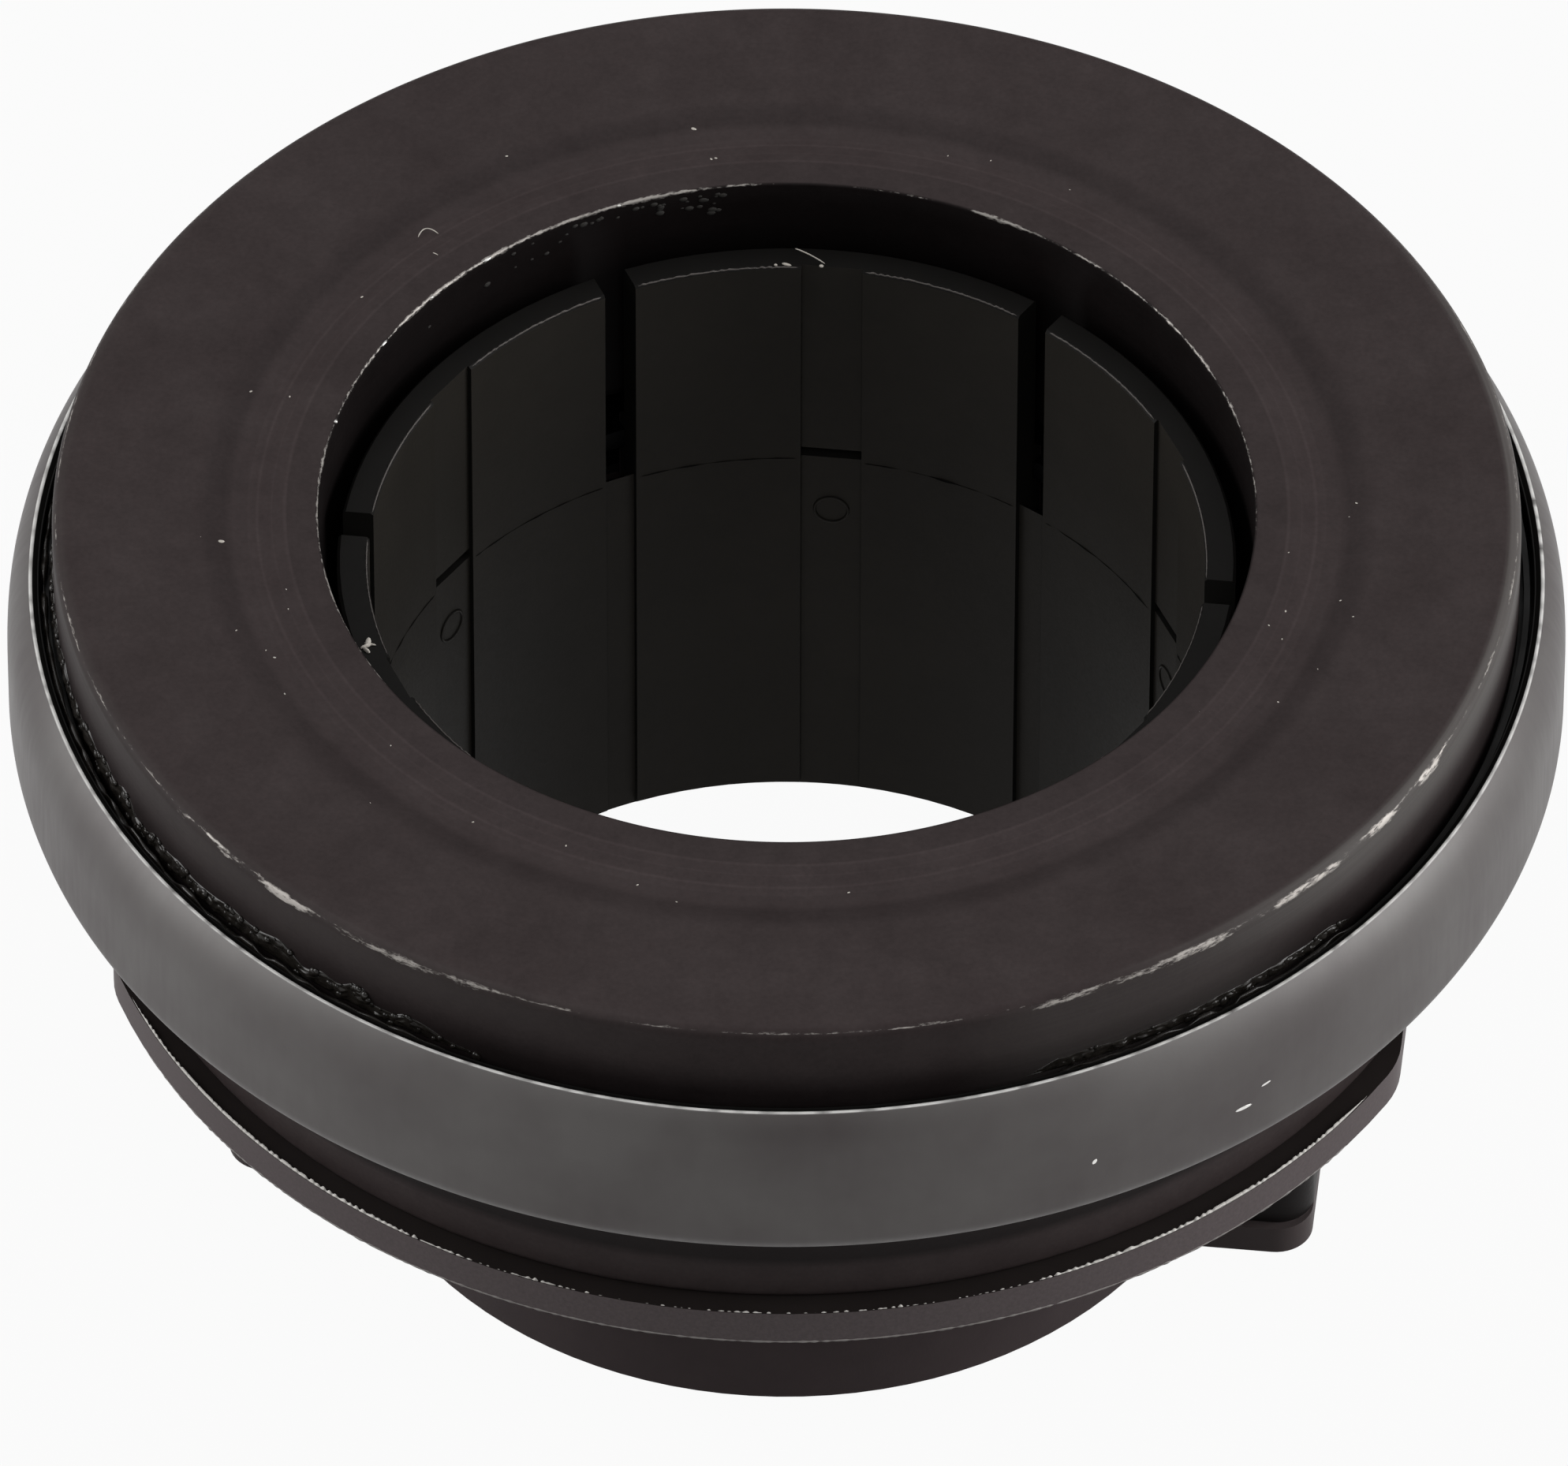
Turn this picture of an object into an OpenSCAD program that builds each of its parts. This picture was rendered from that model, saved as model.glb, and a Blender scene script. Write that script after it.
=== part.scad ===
// Self-centring clutch release bearing on a moulded guide sleeve.
// Millimetres. The axis is Z, the thrust face looks up, and the part stands on its two fork lugs.
// Every radius is built outwards from the bore, and every height upwards from the lugs.

/* [Guide sleeve] */
// Bore that slides on the guide tube
bore_d = 35; // [28:0.5:44]
// Wall of the boss below the flange
boss_wall = 1.3; // [1:0.05:2]
// Length of the boss below the flange
boss_h = 15.05; // [8:0.05:24]
// Wall of the fingers above the flange
finger_wall = 1.3; // [1:0.05:2]
// How far the fingers' rim lies below the thrust face
rim_drop = 2.95; // [1.5:0.05:4]
// Solid height of the sleeve between the flange and the slots
slot_foot = 3.25; // [2.5:0.05:6]
// Width of the slots between the fingers
slot_w = 1.4; // [0.8:0.1:2]
// Fall of the slots' foot for each millimetre outwards
slot_fall = 1; // [0.2:0.1:1.2]
// Number of fingers
finger_count = 6; // [4:1:8]
// Width of the sunk strip down the middle of each finger
strip_w = 2.6; // [1.5:0.1:3]
// Depth of the strips
strip_sink = 0.15; // [0.05:0.05:0.4]
// Depth of the grooves below the slots
groove_sink = 0.25; // [0.1:0.05:0.7]
// Height of the notch in each strip, at the level of the slots' foot
notch_h = 0.5; // [0.3:0.05:0.8]
// Depth of the notch
notch_sink = 0.75; // [0.4:0.05:0.9]
// Lead-in chamfer at the foot of the bore
bore_chamfer = 0.4; // [0.2:0.05:0.6]
// Chamfer on the fingers' rim and on the outer edge of the boss
rim_break = 0.12; // [0.05:0.01:0.3]

/* [Flange] */
// Thickness of the flange
flange_t = 1.7; // [1.2:0.05:4]
// How far the flange stands out beyond the housing
flange_out = 0.85; // [0.3:0.05:3]
// Depth of the two flats on the flange
flat_depth = 2.65; // [1:0.05:4]
// Rounding where a flat meets the round rim
flat_corner_r = 4; // [1:0.5:8]

/* [Fork lugs] */
// How far a lug stands out from the boss
lug_reach = 4.4; // [3:0.05:6]
// Width of each lug
lug_w = 14; // [8:0.1:20]
// How far the foot stands out beside its lug
foot_out = 0.4; // [0.2:0.1:1.5]
// Thickness of the foot
foot_t = 1.4; // [0.8:0.1:3]
// How far the feet stand below the boss
foot_drop = 0.5; // [0.3:0.1:3]
// Rounding of the upright edges of lugs and feet
lug_corner_r = 1.6; // [0.4:0.1:2]

/* [Centring] */
// Radial room in which the bearing centres itself
float_room = 0.75; // [0.4:0.05:1.5]
// Height of the collar's chamfer, and how far the collar stands out from the fingers
collar_out = 0.5; // [0.3:0.05:1]
// Thickness of the slide washer
washer_t = 0.8; // [0.5:0.05:1.5]
// Radial width of the slide washer
washer_w = 6.3; // [4:0.1:7]
// Thickness of the wave spring
spring_t = 0.45; // [0.3:0.05:0.8]
// Radial width of the wave spring
spring_w = 4.6; // [3:0.1:6]
// Height of the wave spring as fitted
spring_h = 1.9; // [1.2:0.1:4]
// Number of waves
wave_count = 4; // [3:1:6]
// Thickness of the retaining ring
snap_t = 1; // [0.6:0.05:1.5]
// Radial width of the retaining ring
snap_w = 2.6; // [1.5:0.1:3.5]
// Gap between the ends of the retaining ring
snap_gap = 6; // [3:0.5:12]
// Depth of the groove for the retaining ring
snap_groove = 0.6; // [0.3:0.05:0.9]

/* [Thrust ring] */
// Wall of the hub that carries the inner raceway
hub_wall = 1.65; // [1.2:0.05:3]
// Thickness of the disc under the thrust face
disc_t = 2; // [1.4:0.05:4]
// Depth of the rim below the thrust face
rim_h = 4.8; // [4.2:0.1:5.2]
// Wall of the rim
rim_wall = 1.15; // [0.8:0.05:2]
// Rounding of the rim's upper edge
rim_round = 0.5; // [0.2:0.05:0.8]
// Flat width of the thrust face, from the rim inwards
face_w = 6.1; // [4:0.1:7]
// Width of the lip round the bore
lip_w = 1.25; // [0.8:0.05:2]
// Depth of the dip between lip and face
dip_h = 0.22; // [0.1:0.02:0.5]

/* [Balls and races] */
// Ball diameter
ball_d = 6.35; // [5:0.05:8]
// Number of balls
ball_count = 18; // [12:1:18]
// Contact angle of the balls
contact_angle = 45; // [35:1:50]
// Radius of the raceway grooves as a share of the ball diameter
race_share = 0.52; // [0.515:0.005:0.53]
// How far the small shoulders of hub and race reach round the balls
snap_over = 0.06; // [0.03:0.01:0.1]
// Height of the outer race above the ball centres
race_over = 1.3; // [0.9:0.05:1.6]
// Wall of the outer race behind its shoulder
race_wall = 2.05; // [1.6:0.05:3]
// Bottom wall of the outer race
race_floor = 1; // [0.7:0.05:2]
// Thickness of the cage's prongs
prong_t = 1.9; // [1.4:0.1:2.2]
// Height of the prongs above the ball centres
prong_over = 1.3; // [0.5:0.1:1.8]

/* [Housing and cover] */
// Sheet of the housing
housing_t = 1.2; // [0.8:0.05:2]
// Width of the ledge that carries the outer race
ledge_w = 1.8; // [1.4:0.05:2.5]
// Rounding of the housing's lower edge
cup_round = 0.4; // [0.4:0.1:1.5]
// Sheet of the cover
cover_t = 0.45; // [0.3:0.05:0.7]
// How far the cover's mouth lies below the thrust face
mouth_drop = 3.6; // [3:0.05:4]
// How far the cover's belly stands out beyond its mouth
belly_out = 1.1; // [0.4:0.05:2]
// Height of the belly above the cover's foot
belly_h = 2.9; // [2:0.1:4]
// Rounding of the cover's lower edge
cover_round = 1.1; // [0.8:0.1:1.8]

/* [Seals] */
// Thickness of the front seal's foot
front_foot_t = 0.3; // [0.2:0.05:0.6]
// Height of the front seal's lip
front_lip_h = 1; // [0.7:0.05:1.1]
// Thickness of the front seal's lip
front_lip_t = 0.25; // [0.2:0.05:0.3]
// Thickness of the rear seal
rear_seal_t = 1.1; // [0.8:0.05:2]
// Width of the thin lip of the rear seal
rear_lip_w = 1; // [0.6:0.1:1.5]

/* [Clearances] */
// Gap between faces that seat, slide or turn on each other
slip = 0.03; // [0.02:0.01:0.05]
// Gap between a ball and its raceways
ball_gap = 0.02; // [0.01:0.005:0.03]
// Gap between a ball and its pocket in the cage
pocket_gap = 0.12; // [0.08:0.01:0.2]
// Gap between the cage and what it turns past
cage_gap = 0.3; // [0.2:0.05:0.4]
// Gap between a seal lip and what turns past it
lip_gap = 0.2; // [0.1:0.05:0.3]
// Axial and radial room round the turning rim and hub
turn_room = 0.45; // [0.35:0.05:0.8]

/* [Hidden] */
$fn = 96;
arc_steps = 10;
wave_steps = 24;
slot_pitch = 360 / finger_count;
ball_pitch = 360 / ball_count;
// Where the raceway arcs stop short of the axial direction
race_end = 83;

// Radii of the sleeve and of what floats round it
bore_r = bore_d / 2;
boss_r = bore_r + boss_wall;
finger_r = bore_r + finger_wall;
collar_r = finger_r + collar_out;
groove_r = collar_r - snap_groove;
floor_r = collar_r + float_room;
lug_r = boss_r + lug_reach;

// Radii of the bearing, from the thrust ring's bore outwards
ring_bore_r = finger_r + float_room;
hub_r = ring_bore_r + hub_wall;
ball_r = ball_d / 2;
pitch_r = hub_r + ball_r - snap_over;
race_r = race_share * ball_d;
race_shift = race_r - ball_r - ball_gap;
shift = race_shift * [cos(contact_angle), -sin(contact_angle)];
land_r = pitch_r + ball_r - snap_over / 2;
race_bore_r = pitch_r - shift[0] + race_r * cos(race_end);
race_outer_r = land_r + race_wall;
neck_r = race_outer_r - turn_room;
rim_in_r = neck_r + turn_room;
ring_r = rim_in_r + rim_wall;
seat_r = race_outer_r + slip;
housing_r = seat_r + housing_t;
cup_in_r = seat_r - ledge_w;
cup_r = cup_in_r + housing_t;
flange_r = cup_r + flange_out;
flat_x = flange_r - flat_depth;
mouth_r = ring_r + turn_room + cover_t;
belly_r = mouth_r + belly_out;

// Heights, from the feet of the lugs to the retaining ring
flange_z = foot_drop + boss_h;
seat_z = flange_z + flange_t;
slot_z = seat_z + slot_foot;
housing_z = seat_z + slip;
washer_z = housing_z + housing_t + slip;
spring_z = washer_z + washer_t + slip;
snap_z = spring_z + spring_h + slip;
collar_z = snap_z + snap_t + slip;
collar_top = collar_z + 2 * collar_out - slip;

// Heights, from the hub's foot to the thrust face
hub_z = collar_top + turn_room;
rear_seal_z = hub_z + turn_room;
ledge_top = rear_seal_z + rear_seal_t + slip;
ledge_z = ledge_top - housing_t;
cover_z = ledge_z - slip - cover_t;
race_z = ledge_top + slip;
outer_c = [pitch_r, race_z + race_floor + race_r * sin(race_end)] - [shift[0], 0];
ball_c = outer_c + shift;
inner_c = ball_c + shift;
ball_z = ball_c[1];
underside_z = inner_c[1] + race_r * sin(race_end);
face_z = underside_z + disc_t;
rim_z = face_z - rim_h;
tube_top = face_z - rim_drop;
mouth_z = face_z - mouth_drop;
front_seal_z = rim_z - lip_gap - front_foot_t;
housing_top = front_seal_z - slip;
race_top = ball_z + race_over;

// Angles at which the raceway arcs run out on the shoulders of hub and race
hub_angle = acos((inner_c[0] - hub_r) / race_r);
land_angle = acos((land_r - outer_c[0]) / race_r);

function ball_name(i) = str("ball_", i < 10 ? "0" : "", i);

// Points along an arc of a profile, from angle a0 to angle a1
function arc(c, r, a0, a1) =
    [for (i = [0 : arc_steps]) let (a = a0 + (a1 - a0) * i / arc_steps) c + r * [cos(a), sin(a)]];

// A ring of rectangular section
module plain_ring(r0, r1, z, t) {
    rotate_extrude()
        translate([r0, z])
            square([r1 - r0, t]);
}

// Round flange with two flats, whose ends run into the rim with a radius
module flange_outline() {
    round_c = [flat_x - flat_corner_r,
               sqrt(pow(flange_r - flat_corner_r, 2) - pow(flat_x - flat_corner_r, 2))];
    rim_touch = round_c * flange_r / norm(round_c);
    difference() {
        intersection() {
            circle(flange_r);
            square([2 * flat_x, 3 * flange_r], center = true);
        }
        for (sx = [0, 1], sy = [0, 1])
            mirror([sx, 0])
                mirror([0, sy])
                    difference() {
                        polygon([round_c, [flat_x, round_c[1]], [flange_r, round_c[1]], rim_touch * 1.05]);
                        translate(round_c)
                            circle(flat_corner_r);
                    }
    }
}

// Block that stands out from the boss, with rounded upright edges
module lug_outline(width) {
    difference() {
        union() {
            translate([0, -width / 2])
                square([lug_r - lug_corner_r, width]);
            translate([0, lug_corner_r - width / 2])
                square([lug_r, width - 2 * lug_corner_r]);
            for (side = [-1, 1])
                translate([lug_r - lug_corner_r, side * (width / 2 - lug_corner_r)])
                    circle(lug_corner_r);
        }
        circle(bore_r + boss_wall / 2);
    }
}

// Tube with the boss, the collar with its snap groove, and the fingers' rim
module tube() {
    rotate_extrude()
        polygon([
            [bore_r, foot_drop + bore_chamfer],
            [bore_r + bore_chamfer, foot_drop],
            [boss_r - rim_break, foot_drop],
            [boss_r, foot_drop + rim_break],
            [boss_r, flange_z],
            [collar_r, flange_z],
            [collar_r, snap_z - slip],
            [groove_r, snap_z - slip],
            [groove_r, collar_z],
            [collar_r, collar_z],
            [collar_r, collar_top - collar_out],
            [finger_r, collar_top],
            [finger_r, tube_top - rim_break],
            [finger_r - rim_break, tube_top],
            [bore_r + rim_break, tube_top],
            [bore_r, tube_top - rim_break]
        ]);
}

// Cut of a given width down the bore wall, from the axis out to radius r
module bore_cut(width, r, z0, z1) {
    translate([bore_r / 2, -width / 2, z0])
        cube([r - bore_r / 2, width, z1 - z0]);
}

// Slot between two fingers, whose foot falls away outwards
module slot_cut() {
    foot_r = bore_r + groove_sink;
    out_r = collar_r + 1;
    translate([0, slot_w / 2, 0])
        rotate([90, 0, 0])
            linear_extrude(slot_w)
                polygon([
                    [bore_r / 2, slot_z],
                    [foot_r, slot_z],
                    [out_r, slot_z - slot_fall * (out_r - foot_r)],
                    [out_r, tube_top + 1],
                    [bore_r / 2, tube_top + 1]
                ]);
}

module guide_sleeve() {
    color([0.17, 0.16, 0.16])
        difference() {
            union() {
                tube();
                translate([0, 0, flange_z])
                    linear_extrude(flange_t)
                        difference() {
                            flange_outline();
                            circle(bore_r + boss_wall / 2);
                        }
                for (side = [0, 1])
                    mirror([side, 0, 0]) {
                        linear_extrude(flange_z + flange_t / 2)
                            lug_outline(lug_w);
                        linear_extrude(foot_t)
                            lug_outline(lug_w + 2 * foot_out);
                    }
            }
            for (k = [0 : finger_count - 1])
                rotate(k * slot_pitch) {
                    slot_cut();
                    bore_cut(slot_w, bore_r + groove_sink, 0, slot_z);
                    rotate(slot_pitch / 2) {
                        bore_cut(strip_w, bore_r + strip_sink, 0, tube_top + 1);
                        bore_cut(strip_w, bore_r + notch_sink, slot_z, slot_z + notch_h);
                    }
                }
        }
}

// Drawn cup with a ledge for the outer race and a floor that slides on the flange
module housing() {
    color([0.2, 0.19, 0.19])
        rotate_extrude()
            polygon(concat(
                [[floor_r, housing_z]],
                arc([cup_r - cup_round, housing_z + cup_round], cup_round, -90, 0),
                [
                    [cup_r, ledge_z],
                    [housing_r, ledge_z],
                    [housing_r, housing_top],
                    [seat_r, housing_top],
                    [seat_r, ledge_top],
                    [cup_in_r, ledge_top],
                    [cup_in_r, housing_z + housing_t],
                    [floor_r, housing_z + housing_t]
                ]
            ));
}

// Radius of the cover's outside: straight up to the belly, then drawn in to the mouth
function cover_r(z) =
    belly_r - belly_out * pow(max(0, (z - cover_z - belly_h) / (mouth_z - cover_z - belly_h)), 2);

// Thin shield with its foot turned in under the housing's ledge
module cover() {
    round_c = [belly_r - cover_round, cover_z + cover_round];
    rise = [for (i = [0 : arc_steps])
        let (z = cover_z + belly_h + (mouth_z - cover_z - belly_h) * i / arc_steps) [cover_r(z), z]];
    color([0.42, 0.42, 0.42])
        rotate_extrude()
            polygon(concat(
                [[cup_r + slip, cover_z]],
                arc(round_c, cover_round, -90, 0),
                rise,
                [for (i = [arc_steps : -1 : 0]) rise[i] - [cover_t, 0]],
                arc(round_c, cover_round - cover_t, 0, -90),
                [[cup_r + slip, cover_z + cover_t]]
            ));
}

module outer_race() {
    color([0.55, 0.55, 0.56])
        rotate_extrude()
            polygon(concat(
                [
                    [race_bore_r, race_z],
                    [race_outer_r, race_z],
                    [race_outer_r, housing_top],
                    [neck_r, housing_top],
                    [neck_r, race_top],
                    [land_r, race_top]
                ],
                arc(outer_c, race_r, land_angle, -race_end)
            ));
}

// Pressed ring: hub with the inner raceway, disc with the thrust face, and a rim turned down
module thrust_ring() {
    face_r = ring_r - face_w;
    lip_r = ring_bore_r + lip_w;
    dip = [for (i = [0 : 2 * arc_steps])
        let (share = i / (2 * arc_steps))
        [face_r + (lip_r - face_r) * share, face_z - dip_h * pow(sin(180 * share), 2)]];
    color([0.22, 0.2, 0.2])
        rotate_extrude()
            polygon(concat(
                [[ring_bore_r, hub_z], [hub_r, hub_z]],
                arc(inner_c, race_r, 180 + hub_angle, 180 - race_end),
                [[rim_in_r, underside_z], [rim_in_r, rim_z], [ring_r, rim_z]],
                arc([ring_r - rim_round, face_z - rim_round], rim_round, 0, 90),
                dip,
                [[ring_bore_r, face_z]]
            ));
}

module at_ball(i) {
    rotate((i - 1) * ball_pitch)
        translate([pitch_r, 0, ball_z])
            children();
}

module ball(i) {
    color([0.75, 0.75, 0.77])
        at_ball(i)
            sphere(ball_r);
}

// Crown cage: a ring below the balls, with a prong between each two of them
module ball_cage() {
    cage_in_r = hub_r + cage_gap;
    cage_out_r = race_bore_r - cage_gap;
    prong_r = pitch_r + prong_t / 2;
    prong_z = outer_c[1] - sqrt(pow(race_r, 2) - pow(prong_r - outer_c[0], 2)) + cage_gap;
    ring_top = ball_z - ball_r / 2;
    color([0.3, 0.22, 0.12])
        difference() {
            rotate_extrude()
                polygon([
                    [cage_in_r, race_z + cage_gap],
                    [cage_out_r, race_z + cage_gap],
                    [cage_out_r, prong_z],
                    [prong_r, prong_z],
                    [prong_r, ball_z + prong_over],
                    [prong_r - prong_t, ball_z + prong_over],
                    [prong_r - prong_t, ring_top],
                    [cage_in_r, ring_top]
                ]);
            for (i = [1 : ball_count])
                at_ball(i)
                    sphere(ball_r + pocket_gap);
        }
}

// Rubber ring on the housing's rim, with a lip that rises outside the thrust ring
module front_seal() {
    lip_r = ring_r + lip_gap;
    color([0.1, 0.1, 0.1])
        rotate_extrude()
            polygon([
                [race_outer_r, front_seal_z],
                [lip_r + front_lip_t, front_seal_z],
                [lip_r + front_lip_t, front_seal_z + front_lip_h],
                [lip_r, front_seal_z + front_lip_h],
                [lip_r, front_seal_z + front_foot_t],
                [race_outer_r, front_seal_z + front_foot_t]
            ]);
}

// Sealing washer in the cup, thinned to a lip round the hub
module rear_seal() {
    lip_r = hub_r + lip_gap;
    color([0.12, 0.11, 0.1])
        rotate_extrude()
            polygon([
                [lip_r, rear_seal_z + rear_seal_t / 3],
                [lip_r + rear_lip_w, rear_seal_z],
                [cup_in_r - slip, rear_seal_z],
                [cup_in_r - slip, rear_seal_z + rear_seal_t],
                [lip_r + rear_lip_w, rear_seal_z + rear_seal_t],
                [lip_r, rear_seal_z + rear_seal_t * 2 / 3]
            ]);
}

module slide_washer() {
    color([0.75, 0.7, 0.55])
        plain_ring(floor_r, floor_r + washer_w, washer_z, washer_t);
}

// Flat spring washer bent into waves: four edges swept round the axis
module wave_spring() {
    steps = wave_steps * wave_count;
    spring_r = collar_r + slip;
    edges = [[spring_r, 0], [spring_r + spring_w, 0], [spring_r + spring_w, spring_t], [spring_r, spring_t]];
    swing = (spring_h - spring_t) / 2;
    points = [for (i = [0 : steps - 1], e = edges)
        let (a = 360 * i / steps)
        [e[0] * cos(a), e[0] * sin(a), spring_z + e[1] + swing * (1 + cos(wave_count * a))]];
    faces = [for (i = [0 : steps - 1], k = [0 : 3])
        let (next = (i + 1) % steps)
        [4 * i + k, 4 * i + (k + 1) % 4, 4 * next + (k + 1) % 4, 4 * next + k]];
    triangles = [for (f = faces, t = [[f[0], f[1], f[2]], [f[0], f[2], f[3]]]) [t[2], t[1], t[0]]];
    color([0.5, 0.5, 0.52])
        polyhedron(points, triangles);
}

module retaining_ring() {
    snap_r = groove_r + slip;
    color([0.3, 0.3, 0.32])
        difference() {
            plain_ring(snap_r, snap_r + snap_w, snap_z, snap_t);
            translate([0, -snap_gap / 2, snap_z - 1])
                cube([snap_r + snap_w + 1, snap_gap, snap_t + 2]);
        }
}

guide_sleeve();
housing();
cover();
outer_race();
thrust_ring();
ball_cage();
for (i = [1 : ball_count])
    ball(i);
front_seal();
rear_seal();
slide_washer();
wave_spring();
retaining_ring();
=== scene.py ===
"""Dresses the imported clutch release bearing: a turned, phosphated thrust ring in a drawn steel cover, on
a moulded black sleeve. Lengths are in millimetres until they reach a mesh, which is in metres, and angles
are in degrees about the part's axis, from +X towards +Y."""

import bmesh
import bpy
import numpy as np
from mathutils import Matrix, Vector


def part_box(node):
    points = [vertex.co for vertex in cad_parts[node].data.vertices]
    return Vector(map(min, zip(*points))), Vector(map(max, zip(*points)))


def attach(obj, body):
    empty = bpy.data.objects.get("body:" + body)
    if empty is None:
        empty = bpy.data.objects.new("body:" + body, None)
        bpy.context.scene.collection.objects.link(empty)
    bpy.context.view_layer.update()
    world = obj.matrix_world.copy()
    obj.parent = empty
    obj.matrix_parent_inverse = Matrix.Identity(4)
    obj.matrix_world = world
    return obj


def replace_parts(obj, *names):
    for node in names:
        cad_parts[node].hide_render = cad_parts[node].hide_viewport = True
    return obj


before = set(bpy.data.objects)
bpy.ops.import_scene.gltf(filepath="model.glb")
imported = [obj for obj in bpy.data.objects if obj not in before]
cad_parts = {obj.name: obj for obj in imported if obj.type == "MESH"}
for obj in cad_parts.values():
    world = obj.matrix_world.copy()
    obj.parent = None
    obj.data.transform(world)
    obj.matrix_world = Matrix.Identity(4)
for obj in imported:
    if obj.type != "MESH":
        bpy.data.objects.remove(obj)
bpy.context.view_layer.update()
MM = 0.001

# The view, fitted to the photograph: the lens in pixels, lengths as shares of VIEW_UNIT
IMAGE_W = 1988
FOCAL_PX = 30000.0
SENSOR_W = 36.0
VIEW_UNIT = 30.7
VIEW_TILT = 45.06
VIEW_ROLL = -0.144
VIEW_TURN = 6.2
VIEW_AWAY = 32.1532
VIEW_SHIFT = (0.00296, 0.30615)

# Fineness of the turned pieces
TURN_STEPS = 480
PROFILE_STEP = 0.4
FACE_STEP = 0.15

# Radius at which a pattern that runs round the axis has its true size
PATTERN_R = 30.0

# Thrust ring: its form, where its coating is worn and smeared, and where light is painted on its outer wall
RACE_R = 3.3
RIM_ROUND = 0.5
EDGE_BREAK = 0.11
DIP_OUT, DIP_IN, DIP_DEPTH = 24.56, 20.8, 0.22
WORN_RIM = ((224, 251), (297, 337))
# Painted light on the outer wall's right side and left side, then a pale smear on it
RIGHT_LIT_WALL = ((325, 380),)
LEFT_LIT_WALL = ((150, 250),)
SMEARED_WALL = ((297, 313),)
WORN_BORE = ((15, 75), (110, 205))
BRIGHT_BORE = ((110, 146),)
# How pale the painted light on the right and on the left makes the wall, and how pale the smear is
RIGHT_LIGHT, LEFT_LIGHT, SMEARED = 0.75, 0.12, 0.2
# Depth of the wall's skin and its soft border, and where above the cover's mouth the painted light starts
# and grows
SKIN_DEEP, SKIN_SOFT, SMEAR_DEEP = 0.55, 0.15, 0.1
LIGHT_START, LIGHT_RISE = 1.3, 1.3
# Bells of wear on the profile: how far in from the rim, how far down from the face, and how wide
EDGE_BELL = (0.17, 0.12, 0.09)
RIM_BELL = (0.1, 0.26, 0.26)
BORE_BELL_W = 0.15
# Tone of the turned face by radius, as a share of the coating's own colour, and in the bore below its
# edge a painted shade, nearly black
TURNED_TONE_AND_BORE_SHADE = ((19.5, 0.14), (19.57, 0.16), (19.66, 0.7), (20.85, 0.7), (20.95, 0.95), (21.05, 0.78),
               (21.45, 0.8), (21.5, 0.9), (21.55, 0.8), (22.0, 0.8), (22.1, 1.0), (22.2, 0.8), (22.5, 0.86),
               (22.55, 0.78), (23.1, 0.78), (23.5, 0.6), (24.1, 0.62), (24.7, 0.75), (30.5, 0.77),
               (30.62, 0.6))

# Painted shade on the housing's and the ring's walls by height: dark under the cover, a little dark in the
# corner above the flange, and dark on the ring's wall just above the cover's mouth
WALL_SHADE = ((17.2, 0.9), (18.0, 0.95), (18.5, 1.0), (19.1, 1.0), (19.6, 0.33), (20.6, 0.45), (31.3, 0.55),
             (31.9, 0.68), (32.6, 0.92), (33.3, 1.0))

# Cover: width of the bright part of its cut edge, and the small break of that edge
CUT_W = 0.14
CUT_BREAK = 0.02
# Where its lower fold is scuffed, and where a painted highlight lies under the mouth, how pale it is
# and over what height
SCUFFED_FOLD = ((292, 326),)
MOUTH_HIGHLIGHT = ((222, 244), (308, 328))
HIGHLIGHT_PALE, HIGHLIGHT_FADE = 0.11, 1.3
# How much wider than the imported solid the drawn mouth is, and the power by which the wall rolls in to it
MOUTH_OUT = 0.14
MOUTH_POWER = 4

# Sleeve: where its flash is torn tallest and where it is trimmed low, and the flange's round edges
TORN_RIM = ((211, 238), (303, 329))
TRIMMED_RIM = ((262, 292),)
ROUND_RIM = ((29.0, 151.0), (209.0, 331.0))
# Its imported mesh: how near vertices merge, how flat faces join and how sharp edges are rounded, in degrees
SLEEVE_MERGE, FLAT_WITHIN, SHARP_OVER = 0.002, 0.3, 30
SLEEVE_EDGE = 0.07
# Marks of the mould: slots and sunken strips, the line where the cores met, the ejector pins' ridges
SLOT_HALF, STRIP_HALF, FINGERS = 2.6, 4.6, 6
STRIP_SINK = 0.15
PARTING_Z, PARTING_SIZE, PARTING_SINK = 20.5, 0.05, 0.03
MARK_Z, MARK_R = 17.4, 0.72
MARK_HALF_W, MARK_TALL, MARK_SUNK = 0.07, 0.06, 0.01
MARK_STEPS, MARK_SIDES = 40, 6
# Where its finish and its painted light and shade change: radii of the bore's wall, the lugs, the
# fingers and the flange's rim, and heights of the lugs' lit feet and of the flange over the lugs
BORE_WALL_R, LUG_R, FINGER_R, FLANGE_RIM_R = 17.9, 18.95, 19.2, 26.5
LIT_FOOT_Z, FLANGE_Z = 1.42, 15.6

# Grease round the ring: from angle, to angle, how far it climbs above the cover's mouth, lumps
GREASE = ((172, 252, 0.6, 190), (295, 326, 0.1, 14))
# Its coat's foot below the mouth and its grid, and its bead's depth in the mouth, gap to the ring and sides
COAT_FOOT, COAT_STEPS, COAT_ROWS = 0.5, 1000, 14
BEAD_DOWN, BEAD_GAP, BEAD_SIDES = 0.45, 0.24, 12

# Dirt on the thrust face: radius, angle and size of single specks
SPECKS = ((26.9, 339, 0.16), (23.65, 191, 0.11), (29.7, 200, 0.1), (27.5, 175, 0.07), (23.4, 106, 0.09),
          (28.3, 191, 0.08), (26.0, 33, 0.07), (25.1, 318, 0.08), (27.9, 352, 0.06), (24.6, 12, 0.07))
# Finer dust on the face: how many specks, and between which radii
DUST_COUNT, DUST_IN, DUST_OUT = 110, 20.0, 30.0
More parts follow.
